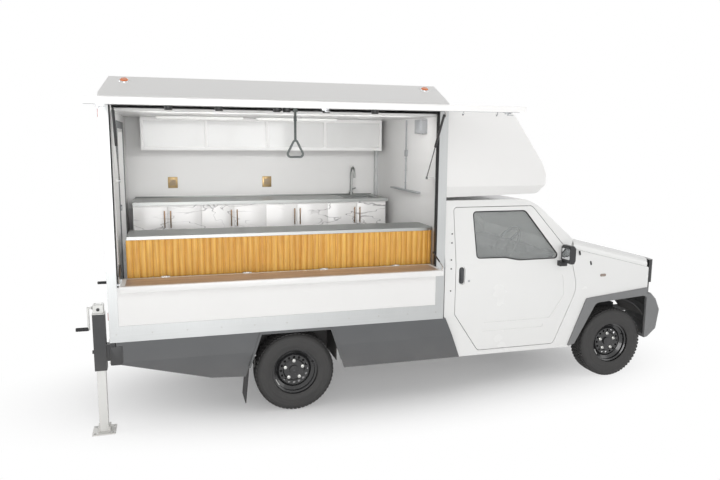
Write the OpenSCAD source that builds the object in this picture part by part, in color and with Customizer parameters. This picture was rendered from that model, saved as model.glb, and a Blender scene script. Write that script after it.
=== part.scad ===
// Food truck: a kitchen box with a lift-up serving hatch on a single-cab light pickup chassis.
// Stations are measured from the rear axle: x forward, y to the left, z up from the ground.
// placed() then moves the whole truck so that its origin is the middle of its footprint.

/* [Running gear] */
// Distance between the axles
wheelbase = 3085; // [2900:5:3300]
// Distance between the wheel centre planes
track = 1505; // [1400:5:1560]
// Tyre outer diameter
tyre_d = 666; // [620:2:700]
// Tyre section width
tyre_w = 195; // [165:5:215]
// Bead seat diameter of the steel rims
rim_d = 354; // [330:1:380]
// Spindle diameter in the wheel hub
spindle_d = 65; // [45:1:70]
// Sideways distance of each kingpin from the middle
kingpin_y = 690; // [660:5:710]

/* [Ladder frame] */
// Height of one frame rail
rail_h = 130; // [100:5:160]
// Width of one frame rail
rail_w = 60; // [50:5:80]
// Sideways distance of each rail's middle
rail_y = 380; // [350:5:400]
// Underside of the rails above the ground
rail_z = 480; // [450:5:520]

/* [Kitchen box] */
// Station of the box's rear end
box_rear = -1430; // [-1700:5:-1300]
// Length of the box
box_l = 2720; // [2300:10:3200]
// Width of the box
box_w = 1840; // [1700:10:2000]
// Underside of the aluminium sill
sill_z = 722; // [700:2:760]
// Height of the sill band
sill_h = 125; // [80:5:160]
// Top of the box walls
wall_top = 2490; // [2300:10:2700]
// Thickness of the side and front walls
wall_t = 42; // [25:1:60]
// Thickness of the rear wall
rear_wall_t = 55; // [35:1:80]
// Width of the corner posts along the truck
post_w = 70; // [50:1:90]
// Depth of the corner posts across the truck
post_d = 75; // [50:1:90]
// Width of the walk-in door in the rear wall
rear_door_w = 690; // [560:10:720]
// Height of the walk-in door
rear_door_h = 1560; // [1300:10:1620]

/* [Roof and pod] */
// Rise of the roof over its eaves
roof_rise = 175; // [100:5:240]
// Width of the roof's flat top
roof_flat_w = 1210; // [900:10:1400]
// Thickness of the roof shell
roof_t = 28; // [20:1:40]
// Width of the pod over the cab
pod_w = 1800; // [1600:10:1820]
// Reach of the pod ahead of the box
pod_l = 960; // [700:10:1050]

/* [Serving side] */
// Top of the wall under the serving opening
counter_z = 1145; // [1000:5:1200]
// Reach of the serving hatch from its hinge
hatch_w = 1215; // [1100:5:1240]
// Thickness of the serving hatch
hatch_t = 38; // [25:1:45]
// Downward slope of the open hatch in degrees
hatch_droop = 2.8; // [0:0.1:6]
// Reach of the serving shelf from its hinge
shelf_w = 300; // [220:5:320]
// Thickness of the serving shelf
shelf_t = 44; // [30:1:50]

/* [Kitchen] */
// Height of the front worktop above the ground
front_top_z = 1505; // [1400:5:1560]
// Depth of the front counter
front_counter_d = 375; // [300:5:420]
// Height of the back worktop above the ground
back_top_z = 1660; // [1500:5:1720]
// Depth of the back counter
back_counter_d = 520; // [420:5:560]
// Depth of the glazed wall cabinets
wall_cabinet_d = 340; // [250:5:400]
// Underside of the wall cabinets
wall_cabinet_z = 2140; // [2050:5:2200]

/* [Cab] */
// Width of the cab over its doors
cab_w = 1740; // [1640:5:1780]
// Inward lean of each cab side between belt and roof
cab_lean = 95; // [40:5:140]
// Top of the cab roof
cab_roof_z = 1735; // [1680:5:1745]
// Thickness of the doors
door_t = 48; // [35:1:60]
// Shut gap round the doors and the hood
shut_gap = 5.5; // [5:0.5:8]
// Thickness of the window glass
glass_t = 5; // [4:0.5:8]

/* [Rear jacks] */
// Width of the square outer jack tube
jack_w = 88; // [70:1:100]
// Sideways distance of each jack
jack_y = 845; // [780:5:860]
// Lift of the jack leg when it is wound up
jack_lift = 320; // [250:10:330]

/* [Hidden] */
$fn = 48;

// Clearances
fit = 0.3;        // between pieces that seat on each other

// Wheels
tyre_r = tyre_d / 2;
rim_r = rim_d / 2;
wheel_y = track / 2;
spindle_r = spindle_d / 2;
rim_half = 70;    // half width between the rim flanges
rim_t = 5;        // thickness of the rim steel

// Box stations
box_front = box_rear + box_l;
side_y = box_w / 2;
floor_z = sill_z + 18;
floor_t = 25;
deck_z = floor_z + floor_t;
rear_in = box_rear + rear_wall_t + 30;      // inner face of the rear wall
front_in = box_front - wall_t;              // inner face of the front wall
open_rear = box_rear + post_w;              // edges of the serving opening
open_front = box_front - post_w - 6;
rail_top_t = 50;                            // height of the roof rails
ceiling_z = wall_top - 40;

// Serving hatch: hinge axis along x, and the planes of its two gas struts
hatch_axis = [0, -side_y - hatch_t / 2 - 6, wall_top + 25];
hatch_rear = box_rear + 3;
hatch_front = box_front - 5;
strut_x = [rear_in + 27, open_front - 27];
strut_wall = [0, -side_y + 200, wall_top - 560];      // pins on the end walls
strut_hatch = [0, hatch_axis.y - 115, hatch_axis.z - 65];
strut_len = norm(strut_hatch - strut_wall);
strut_tube_l = 300;
strut_rod_l = 350;
// Serving shelf: hinge axis along x, and the planes of its two stays
shelf_axis = [0, -side_y + 80, counter_z + 50];
shelf_rear = open_rear + 38;
shelf_front = open_front - 27;
stay_x = [shelf_rear - 13.5, shelf_front + 13.5];
stay_post = [0, shelf_axis.y - 45, shelf_axis.z + 105];
stay_shelf = [0, shelf_axis.y - shelf_w + 30, shelf_axis.z + 12];
stay_len = norm(stay_shelf - stay_post);
stay_tube_l = 140;
stay_rod_l = 155;
hinge_r = 8;
pin_r = 4;
hatch_hinges = 5;
shelf_hinges = 4;

// Cab
cab_rear = box_front + 30;
belt_z = 1180;
cab_y = cab_w / 2;
cab_floor_z = rail_z + rail_h + 40;
door_hinge = [wheelbase - 433, cab_y + 3];
hood_slope = 14;
hood_axis = [wheelbase - 473, 0, 1355];     // hinge line at the hood's rear edge
hood_l = 852;
hood_edge = 75;                             // depth of the hood's side returns
front_x = wheelbase + 361;                  // back of the grille and bumper
column_base = [wheelbase - 735, -360, 1170];
column_tilt = 58;                           // steering column from the vertical
steering_r = 185;

// Extent of the whole truck, which places its origin
nose_x = front_x + 236;
crank_x = box_rear - 240;
mirror_reach = 185;
hatch_edge_y = hatch_axis.y - hatch_w * cos(hatch_droop) - hatch_t / 2 * sin(hatch_droop);
mirror_edge_y = cab_y + mirror_reach;
module placed() translate([-(nose_x + crank_x) / 2, -(hatch_edge_y + mirror_edge_y) / 2, 0]) children();

// Helpers
function unit(v) = v / norm(v);
function arc_points(p, u, v, half, r, steps) =
    let (c = p + unit(u + v) * r / sin(half),
         a = p + u * r / tan(half) - c,
         b = p + v * r / tan(half) - c,
         phi = 180 - 2 * half)
    [for (i = [0 : steps]) c + (a * sin((1 - i / steps) * phi) + b * sin(i / steps * phi)) / sin(phi)];
// Outline from rows of [x, y, corner radius]
function rounded(rows, steps = 6) = [
    for (i = [0 : len(rows) - 1])
        let (n = len(rows),
             p = [rows[i].x, rows[i].y],
             before = rows[(i + n - 1) % n],
             after = rows[(i + 1) % n],
             u = unit([before.x, before.y] - p),
             v = unit([after.x, after.y] - p),
             half = acos(u * v) / 2)
        each rows[i].z == 0 ? [p] : arc_points(p, u, v, half, rows[i].z, steps)];
// Counter-clockwise outline moved outward by d
function grown(pts, d) = [
    for (i = [0 : len(pts) - 1])
        let (n = len(pts),
             a = unit(pts[i] - pts[(i + n - 1) % n]),
             b = unit(pts[(i + 1) % n] - pts[i]),
             na = [a.y, -a.x],
             nb = [b.y, -b.x])
        pts[i] + (na + nb) * d / (1 + na * nb)];
// Outline in x and z, drawn out across the truck from y0 to y1
module across(y0, y1) translate([0, y1, 0]) rotate([90, 0, 0]) linear_extrude(y1 - y0) children();
// Outline in y and z, drawn out along the truck from x0 to x1
module along(x0, x1) translate([x0, 0, 0]) rotate([90, 0, 90]) linear_extrude(x1 - x0) children();
// Whole section from the points of its left half
function whole(half) = [for (p = half) if (p.x > 0) p,
    for (i = [len(half) - 1 : -1 : 0]) if (half[i].x > 0) [-half[i].x, half[i].y]];
module both_sides() {
    children();
    mirror([0, 1, 0]) children();
}
module block(lo, hi) translate(lo) cube(hi - lo);
module rod(a, b, r) {
    d = b - a;
    translate(a) rotate([0, acos(d.z / norm(d)), atan2(d.y, d.x)]) cylinder(h = norm(d), r = r);
}
// Hinge along x: the fixed half has the pin and two knuckles, the moving half one knuckle
module hinge_fixed(half = 12) {
    rod([-half - 20, 0, 0], [half + 20, 0, 0], pin_r);
    for (s = [-1, 1]) rod([s * (half + fit), 0, 0], [s * (half + 20), 0, 0], hinge_r);
}
module hinge_bore(half = 12) rod([-half - 1, 0, 0], [half + 1, 0, 0], pin_r + fit);
function spread(lo, hi, count) = [for (i = [0 : count - 1]) lo + (hi - lo) * (i + 0.5) / count];

// ---------- Running gear ----------
// Section of the tyre: a C open to the rim
module tyre_ring() {
    shoulder = 34;
    wall = 14;
    rotate_extrude($fn = 96) difference() {
        intersection() {
            translate([rim_r + fit, -tyre_w / 2]) square([tyre_r - rim_r - fit, tyre_w]);
            union() {
                translate([0, -tyre_w / 2]) square([tyre_r - shoulder, tyre_w]);
                translate([0, -tyre_w / 2 + shoulder]) square([tyre_r, tyre_w - 2 * shoulder]);
                for (s = [-1, 1]) translate([tyre_r - shoulder, s * (tyre_w / 2 - shoulder)])
                    circle(r = shoulder, $fn = 32);
            }
        }
        translate([0, -tyre_w / 2 + wall]) square([rim_r + 16, tyre_w - 2 * wall - 2 * 14]);
        translate([0, -rim_half + 14]) square([tyre_r - wall - 8, 2 * rim_half - 28]);
        for (s = [-1, 1]) translate([0, s * (tyre_w / 2) - (s + 1) / 2 * 28])
            square([rim_r + 16, 28]);
    }
}
// Steel rim: barrel, dished disc with round vents, and the hub that runs on the spindle
module rim_shape() {
    well = rim_r - 26;
    difference() {
        union() {
            rotate_extrude($fn = 96) polygon([
                [rim_r + 13, -rim_half - 6], [rim_r + 13, -rim_half], [rim_r, -rim_half],
                [rim_r, -42], [well, -22], [well, 22], [rim_r, 42], [rim_r, rim_half],
                [rim_r + 13, rim_half], [rim_r + 13, rim_half + 6], [rim_r + 6, rim_half + 6],
                [rim_r - rim_t, rim_half - 2], [rim_r - rim_t, 45], [well - rim_t, 25],
                [well - rim_t, -25], [rim_r - rim_t, -45], [rim_r - rim_t, -rim_half + 2],
                [rim_r + 6, -rim_half - 6]]);
            rotate_extrude($fn = 96) polygon([
                [spindle_r + fit, 16], [88, 16], [98, 26], [125, 26], [well - rim_t - 1, 6],
                [well - rim_t + 1, 6], [well - rim_t + 1, 16], [128, 34], [95, 34], [85, 24],
                [spindle_r + fit, 24]]);
            rotate_extrude($fn = 64) polygon([
                [spindle_r + fit, -12], [62, -12], [66, 16.5], [spindle_r + fit, 16.5]]);
            rotate_extrude($fn = 64) polygon([
                [spindle_r + fit, 23], [spindle_r + 7, 23], [spindle_r + 4, 40],
                [0, 44], [0, 39], [spindle_r + fit, 36]]);
        }
        for (i = [0 : 15]) rotate([0, 0, i * 22.5]) translate([111, 0, 10]) cylinder(h = 40, r = 11);
    }
}
// Wheel piece at an axle station: side -1 is the right of the truck
module at_wheel(x, side) translate([x, side * wheel_y, tyre_r]) rotate([-side * 90, 0, 0]) children();
module spindle_stub(y0) rod([0, y0, 0], [0, wheel_y + 24, 0], spindle_r);

module ladder_frame() placed() color("#2c2d2f") {
    both_sides() block([box_rear + 95, rail_y - rail_w / 2, rail_z],
                       [front_x - 20, rail_y + rail_w / 2, rail_z + rail_h]);
    // Cross-members, by station
    for (x = [box_rear + 130, -520, 480, 1480, 2330, front_x - 60])
        block([x - 35, -rail_y, rail_z + 62], [x + 35, rail_y, rail_z + rail_h - 8]);
}

module engine_block() placed() color("#55575a") {
    block([wheelbase - 440, -210, 500], [wheelbase + 130, 210, 985]);
    // Gearbox and its mounts on the rails
    block([wheelbase - 1080, -120, 425], [wheelbase - 439, 120, 538]);
    both_sides() block([wheelbase - 180, 200, 540], [wheelbase - 110, rail_y - rail_w / 2 - fit, 590]);
}

module exhaust() placed() color("#77797b") {
    pipe_y = -250;
    pipe_z = rail_z - 48;
    rod([wheelbase - 500, pipe_y, pipe_z], [box_rear + 60, pipe_y, pipe_z], 24);
    rod([700, pipe_y, pipe_z], [1250, pipe_y, pipe_z], 84);
    translate([wheelbase - 500, pipe_y, pipe_z]) sphere(r = 26);
    rod([wheelbase - 500, pipe_y, pipe_z], [wheelbase - 462, pipe_y + 50, pipe_z + 80], 22);
    // Hangers under the cross-members
    for (x = [box_rear + 130, -520, 480, 1480]) rod([x, pipe_y, pipe_z], [x, pipe_y, rail_z + 62 - fit], 7);
}

module fuel_tank() placed() color("#3a3b3d") {
    y0 = rail_y + rail_w / 2 + fit;
    along(520, 1240) polygon(rounded([[y0, 350, 30], [y0 + 300, 350, 40], [y0 + 300, 590, 30], [y0, 590, 10]]));
}

module rear_axle() placed() color("#2a2b2c") {
    spring_l = 590;
    camber = 55;
    arc_r = (spring_l * spring_l + camber * camber) / 2 / camber;
    seat_z = tyre_r + 62;
    rod([0, -wheel_y + 40, tyre_r], [0, wheel_y - 40, tyre_r], 42);
    translate([0, 0, tyre_r]) sphere(r = 120);
    // Propeller shaft to the gearbox
    rod([80, 0, tyre_r + 6], [wheelbase - 1081, 0, rail_z - 15], 34);
    both_sides() {
        rod([0, wheel_y - 62, tyre_r], [0, wheel_y - 20, tyre_r], 122);
        translate([0, 0, tyre_r]) spindle_stub(wheel_y - 41);
        // Leaf spring, an arc under the rail, its seat and its hangers
        difference() {
            across(rail_y - 30, rail_y + 30) intersection() {
                translate([-spring_l, seat_z - 10]) square([2 * spring_l, camber + 60]);
                difference() {
                    translate([0, seat_z + arc_r - 10]) circle(r = arc_r, $fn = 200);
                    translate([0, seat_z + arc_r + 18]) circle(r = arc_r, $fn = 200);
                }
            }
            block([-70, rail_y - 31, seat_z + 30], [70, rail_y + 31, seat_z + 60]);
        }
        block([-55, rail_y - 34, tyre_r + 20], [55, rail_y + 34, seat_z]);
        for (s = [-1, 1]) block([s * (spring_l - 25) - 18, rail_y - 24, seat_z + camber - 15],
                                [s * (spring_l - 25) + 18, rail_y + 24, rail_z - fit]);
        rod([-20, rail_y - 80, tyre_r], [-230, rail_y - 80, rail_z + 66], 24);
        block([-260, rail_y - 100, rail_z + 40], [-200, rail_y - rail_w / 2 - fit, rail_z + 90]);
    }
}

// Independent front suspension: two arms a side carry the eyes of the kingpin
module front_suspension() placed() color("#2a2b2c") {
    eye_low = tyre_r - 98;
    eye_high = tyre_r + 92;
    difference() {
        union() {
            block([wheelbase - 70, -rail_y - 40, 262], [wheelbase + 70, rail_y + 40, 330]);
            // Rack of the steering gear
            rod([wheelbase - 150, -310, 318], [wheelbase - 150, 310, 318], 26);
            block([wheelbase - 176, -180, 270], [wheelbase - 60, -130, 330]);
            block([wheelbase - 176, 130, 270], [wheelbase - 60, 180, 330]);
            both_sides() {
                block([wheelbase - 50, rail_y - 28, 320], [wheelbase + 50, rail_y + 28, rail_z - fit]);
                for (z = [eye_low, eye_high]) {
                    translate([wheelbase, kingpin_y, z - 11]) cylinder(h = 22, r = 22);
                    block([wheelbase - 17, rail_y, z - 11], [wheelbase + 17, kingpin_y, z + 11]);
                    for (s = [-1, 1]) rod([wheelbase, kingpin_y - 60, z], [wheelbase + s * 60, rail_y + 12, z], 11);
                }
                // Spring and damper
                rod([wheelbase, kingpin_y - 175, eye_low], [wheelbase, rail_y + 62, rail_z + 90], 30);
                block([wheelbase - 40, rail_y + 30.5, rail_z + 60], [wheelbase + 40, rail_y + 95, rail_z + 115]);
            }
        }
        both_sides() translate([wheelbase, kingpin_y, 0]) cylinder(h = 700, r = 11 + fit);
    }
}

// Knuckle: kingpin, upright, brake and the spindle that the hub runs on
module knuckle(side) {
    translate([wheelbase, 0, 0]) scale([1, side, 1]) {
        translate([0, kingpin_y, tyre_r - 98 - 15]) cylinder(h = 98 + 92 + 30, r = 11);
        translate([-24, kingpin_y - 20, tyre_r - 98 + 12]) cube([48, 40, 98 + 92 - 24]);
        translate([0, 0, tyre_r]) {
            rod([0, kingpin_y, 0], [0, wheel_y - 41, 0], 50);
            rod([0, wheel_y - 37, 0], [0, wheel_y - 16, 0], 118);
            spindle_stub(wheel_y - 41);
        }
        // Steering arm
        block([-150, kingpin_y - 8, 308], [-20, kingpin_y + 8, 328]);
    }
}
module right_knuckle() placed() color("#3b3c3e") knuckle(-1);
module left_knuckle() placed() color("#3b3c3e") knuckle(1);

module tyre(x, side) placed() color("#4b4b4b") at_wheel(x, side) tyre_ring();
module rim(x, side) placed() color("#1d1e20") at_wheel(x, side) rim_shape();
module right_front_tyre() tyre(wheelbase, -1);
module left_front_tyre() tyre(wheelbase, 1);
module right_rear_tyre() tyre(0, -1);
module left_rear_tyre() tyre(0, 1);
module right_front_rim() rim(wheelbase, -1);
module left_front_rim() rim(wheelbase, 1);
module right_rear_rim() rim(0, -1);
module left_rear_rim() rim(0, 1);

// Curved liners over the front tyres and boxes over the rear ones
module wheel_liners() placed() color("#1b1b1c") both_sides() {
    difference() {
        across(480, cab_y - 34 - fit) intersection() {
            translate([wheelbase, tyre_r]) circle(r = 441, $fn = 96);
            translate([wheelbase - 370, tyre_r + 150]) square([front_x - wheelbase + 366, 400]);
        }
        across(479, cab_y) translate([wheelbase, tyre_r]) circle(r = 435, $fn = 96);
    }
    // Rear boxes close the arches in the skirts
    translate([0, 560, 0]) difference() {
        block([-345, 0, 420], [345, side_y - 560 - 32 - fit, sill_z - fit]);
        block([-340, 5, 410], [340, side_y, sill_z - 6]);
    }
}

// ---------- Cab ----------
cab_profile = rounded([[1478, 345, 12], [2510, 345, 25], [2580, 400, 30],
    [2580, 1285, 30], [hood_axis.x - 8, 1362, 12], [2262, 1672, 110], [2140, cab_roof_z, 200],
    [cab_rear, cab_roof_z, 45], [cab_rear, 705, 10]]);
cab_inner = rounded([[cab_rear + 42, cab_floor_z, 20], [2560, cab_floor_z, 30], [2560, 1130, 60],
    [2530, 1330, 30], [2225, 1640, 90], [2110, cab_roof_z - 42, 150],
    [cab_rear + 42, cab_roof_z - 42, 40]]);
function cab_half(inset) = [[0, 300], [cab_y - inset, 300], [cab_y - inset, belt_z],
    [cab_y - inset - cab_lean, cab_roof_z], [cab_y - inset - cab_lean - 6, 1800], [0, 1800]];
// Skin of one cab side between two depths below its outer face
module side_skin(d0, d1) along(cab_rear - 200, wheelbase + 500)
    polygon([for (i = [1 : 4]) cab_half(d0)[i], for (i = [4 : -1 : 1]) cab_half(d1)[i]]);
door_outline = rounded([[1655, 392, 40], [2425, 392, 45], [2655, 905, 260], [2560, 1240, 160],
    [2195, 1672, 60], [1424, 1672, 30], [1424, 735, 30]]);
window_outline = rounded([[1625, 1228, 30], [1900, 1224, 200], [2035, 1196, 200], [2458, 1198, 30],
    [2122, 1632, 55], [1606, 1632, 30]]);
windscreen_at = [2437, 0, 1508];
windscreen_pitch = 42.2;
// Frame in the plane of the windscreen: x down the slope, z out of the glass
module on_windscreen() translate(windscreen_at) rotate([0, windscreen_pitch, 0]) children();
module windscreen_plate(d, z0, z1) on_windscreen() translate([0, 0, z0]) linear_extrude(z1 - z0)
    polygon(grown(rounded([[-170, -640, 40], [170, -712, 40], [170, 712, 40], [-170, 640, 40]]), d));

module cab_body() placed() color("#f1f1ee") difference() {
    intersection() {
        across(-cab_y, cab_y) polygon(cab_profile);
        along(1200, 2700) polygon(whole(cab_half(0)));
    }
    intersection() {
        across(-cab_y, cab_y) polygon(cab_inner);
        along(1200, 2700) polygon(whole(cab_half(door_t + 14)));
    }
    both_sides() {
        intersection() {
            across(cab_y - 400, cab_y + 10) polygon(grown(door_outline, shut_gap));
            side_skin(-1, door_t + 0.5);
        }
        across(cab_y - 400, cab_y) polygon(grown(door_outline, -16));
        // Room for the wing beside the scuttle
        intersection() {
            across(cab_y - 400, cab_y + 10) translate([2460, 300]) square([400, 1500]);
            across(cab_y - 400, cab_y + 10) difference() {
                polygon(grown(wing_outline, fit));
                polygon(grown(door_outline, shut_gap - 0.1));
            }
            side_skin(-1, 40 + fit);
        }
    }
    windscreen_plate(0, -40, 120);
    // Open below between the sills, over the frame rails
    block([1200, -cab_y + 190, 300], [2700, cab_y - 190, rail_z + rail_h + fit]);
}

// Height of the hood's shut line on the wing
function hood_line(x) = hood_axis.z - (x - hood_axis.x) * tan(hood_slope) - (hood_edge + shut_gap) / cos(hood_slope);
wing_outline = rounded([[2500, 340, 10], [2590, 340, 10], [2766, 794, 20], [front_x - 4, 857, 10],
    [front_x - 4, hood_line(front_x - 4), 15], [hood_axis.x - 26, hood_line(hood_axis.x - 26), 4],
    [2500, hood_line(hood_axis.x - 26), 8]]);
module front_wings() placed() color("#f3f3f0") both_sides() difference() {
    intersection() {
        across(cab_y - 300, cab_y) polygon(wing_outline);
        side_skin(0, 40);
        across(cab_y - 300, cab_y) translate([2455, 300]) square([1300, 1100]);
    }
    across(cab_y - 400, cab_y + 10) polygon(grown(door_outline, shut_gap));
}

// The bumper's side profile, from its back edge to its foremost line
function bumper_side(reach, back) = [[back, 365], [reach - 115, 372], [reach - 26, 450], [reach, 630],
    [reach - 50, 740], [reach - 110, 800], [back, 800]];

// Grey lower trim: the bumper and the two wheel-arch flares
module front_trim() placed() color("#6f7172") {
    arch = [[2650, 372, 10], [2868, 752, 60], [front_x - 40, 790, 30], [front_x - 6, 760, 10]];
    both_sides() {
        across(cab_y + fit, cab_y + 14) polygon(rounded([[2578, 352, 8], each arch, [front_x - 6, 868, 8], [2762, 800, 20]]));
        across(cab_y - 34, cab_y + 1) polygon(rounded([[2604, 350, 4], each arch, [front_x - 6, 842, 8], [2784, 780, 20]]));
    }
    difference() {
        hull() {
            across(-cab_y, cab_y) polygon(bumper_side(front_x + 150, front_x));
            across(-cab_y + 26, cab_y - 26) polygon(bumper_side(front_x + 176, front_x));
            across(-500, 500) polygon(bumper_side(nose_x, front_x));
        }
        // The shell's hollow, open to the rear
        hull() {
            across(-cab_y + 26, cab_y - 26) polygon(grown(bumper_side(front_x + 150, front_x - 60), -26));
            across(-500, 500) polygon(grown(bumper_side(nose_x, front_x - 60), -26));
        }
        // Air intake and tow-eye hole
        across(-rail_y + 40, rail_y - 40) polygon([[nose_x - 70, 480], [nose_x + 10, 470], [nose_x + 10, 600], [nose_x - 70, 590]]);
        translate([nose_x - 100, -480, 560]) rotate([0, 90, 0]) cylinder(h = 120, r = 16);
    }
    // Stays to the frame rails
    both_sides() block([front_x - 20 + fit, rail_y - 20, rail_z + 30], [nose_x - 20, rail_y + 20, rail_z + 90]);
}

// Black front panel with the lamp pods at its corners
module grille_panel() placed() color("#202123") {
    plan = rounded([[front_x + 2, -cab_y + 4, 0], [front_x + 48, -cab_y + 4, 26], [front_x + 74, -cab_y + 190, 160],
        [front_x + 74, cab_y - 190, 160], [front_x + 48, cab_y - 4, 26], [front_x + 2, cab_y - 4, 0]]);
    difference() {
        translate([0, 0, 801]) linear_extrude(1136 - 801) polygon(plan);
        // Slots between the lamps
        for (z = [850 : 48 : 1080]) block([front_x + 46, -470, z], [front_x + 92, 470, z + 26]);
        // Set back below the lamps
        both_sides() block([front_x + 14, cab_y - 170, 800], [front_x + 90, cab_y + 1, 915]);
        block([front_x, -cab_y + 30, 830], [front_x + 20, cab_y - 30, 1070]);
    }
    // Slam panel that carries it between the wings
    block([front_x - 50, -cab_y + 40 + fit, 905], [front_x + 21, cab_y - 40 - fit, 950]);
    // Rubber buffers under the hood's nose
    both_sides() translate([front_x - 39, 620, 949])
        cylinder(h = hood_line(front_x - 32) + shut_gap / cos(hood_slope) - fit - 949, r = 7);
}

module windscreen() placed() color([0.55, 0.62, 0.65, 0.5]) windscreen_plate(-0.5, -12, -12 + glass_t);

// Hood: a tray turned down along its sides, hinged at its rear edge
module hood() placed() color("#f3f3f0") translate(hood_axis) rotate([0, hood_slope, 0]) difference() {
    y = cab_y - 2;
    along(2, hood_l) polygon(rounded([[-y, -hood_edge, 0], [y, -hood_edge, 0], [y, 6, 85], [-y, 6, 85]]));
    along(30, hood_l - 26) polygon(rounded([[-y + 26, -hood_edge - 1, 0], [y - 26, -hood_edge - 1, 0],
        [y - 26, -20, 60], [-y + 26, -20, 60]]));
    // Shallow pressing between two ribs
    block([90, -430, 2], [hood_l - 130, 430, 10]);
}

module cab_door(side) scale([1, side, 1]) difference() {
    intersection() {
        across(cab_y - 400, cab_y + 10) polygon(door_outline);
        side_skin(0, door_t);
    }
    across(cab_y - 400, cab_y + 10) polygon(window_outline);
    // Pressings in the lower skin
    across(cab_y - 5, cab_y + 5) polygon(rounded([[1700, 640, 30], [2380, 640, 30], [2520, 850, 60],
        [2500, 1040, 30], [1650, 1040, 30], [1650, 760, 30]]));
    across(cab_y - 4, cab_y + 5) polygon(rounded([[1700, 560, 10], [2300, 560, 10], [2320, 590, 10], [1690, 590, 10]]));
    // Finger recess behind the handle
    across(cab_y - 16, cab_y + 5) polygon(rounded([[1452, 1000, 26], [1512, 1000, 26], [1512, 1160, 26], [1452, 1160, 26]]));
}
module right_door() placed() color("#f3f3f0") cab_door(-1);
module left_door() placed() color("#f3f3f0") cab_door(1);
module door_glass(side) scale([1, side, 1]) intersection() {
    across(cab_y - 400, cab_y + 10) polygon(grown(window_outline, -0.4));
    side_skin(18, 18 + glass_t);
}
module right_door_glass() placed() color([0.5, 0.56, 0.58, 0.45]) door_glass(-1);
module left_door_glass() placed() color([0.5, 0.56, 0.58, 0.45]) door_glass(1);
// Door mirror: head on a folding foot that is screwed to the door's front corner
module mirror_piece(side) translate([2430, 0, 0]) scale([1, side, 1]) {
    along(0, 62) polygon(rounded([[cab_y + fit, 1130, 6], [cab_y + 70, 1130, 12], [cab_y + 62, 1172, 10], [cab_y + fit, 1178, 4]]));
    hull() {
        translate([24, cab_y + 52, 1168]) cube([34, mirror_reach - 60, 20]);
        translate([10, cab_y + 42, 1200]) cube([56, mirror_reach - 42, 110]);
        translate([20, cab_y + 52, 1316]) cube([34, mirror_reach - 66, 14]);
    }
}
module right_mirror() placed() color("#2b2c2e") mirror_piece(-1);
module left_mirror() placed() color("#2b2c2e") mirror_piece(1);

module dashboard() placed() color("#3a3b3d") {
    across(-cab_y + 70, cab_y - 70) polygon(rounded([[2330, 960, 40], [2559, 900, 5], [2559, 1128, 10],
        [2535, 1215, 30], [2380, 1205, 60], [2290, 1130, 50]]));
    // Steering column
    translate(column_base) rotate([0, 90 - column_tilt, 0]) rod([-150, 0, 0], [60, 0, 0], 26);
}
// Steering wheel on the column's axis
module steering_wheel() placed() color("#26272a") translate(column_base)
    rotate([0, 90 - column_tilt, 0]) translate([-150 - fit, 0, 0]) rotate([0, -90, 0]) {
        translate([0, 0, 34]) rotate_extrude($fn = 72) translate([steering_r - 15, 0]) circle(r = 15, $fn = 24);
        cylinder(h = 46, r = 48);
        for (a = [0, 120, 240]) rotate([0, 0, a + 90]) translate([0, -14, 26]) cube([steering_r - 12, 28, 14]);
    }

// Two separate front seats: cushion and back, each a soft block
module cab_seats() placed() color("#4a4c4e") for (y = [-360, 360]) translate([0, y, 0]) {
    across(-245, 245) polygon(rounded([[1560, cab_floor_z + fit, 20], [2070, cab_floor_z + fit, 40],
        [2090, 830, 60], [1700, 800, 30], [1600, 1250, 50], [1480, 1240, 50]]));
    across(-130, 130) polygon(rounded([[1500, 1262, 20], [1585, 1268, 20], [1565, 1440, 40], [1480, 1430, 40]]));
    for (s = [-60, 60]) rod([1540, s, 1225], [1535, s, 1280], 7);
}

// ---------- Kitchen box ----------
module box_floor() placed() color("#8d8f91") {
    block([box_rear + wall_t, -side_y + wall_t, floor_z], [box_front - wall_t, side_y - wall_t, deck_z]);
    // Cross bearers clear of the wheels, and the runners that sit on the frame rails
    for (x = [box_rear + 90, box_rear + 500, -430, 430, box_front - 480, box_front - 90])
        block([x - 25, -side_y + 60, floor_z - 60], [x + 25, side_y - 60, floor_z]);
    both_sides() block([box_rear + 95, rail_y - 28, rail_z + rail_h + fit],
                       [box_front - 42, rail_y + 28, floor_z]);
}

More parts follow.
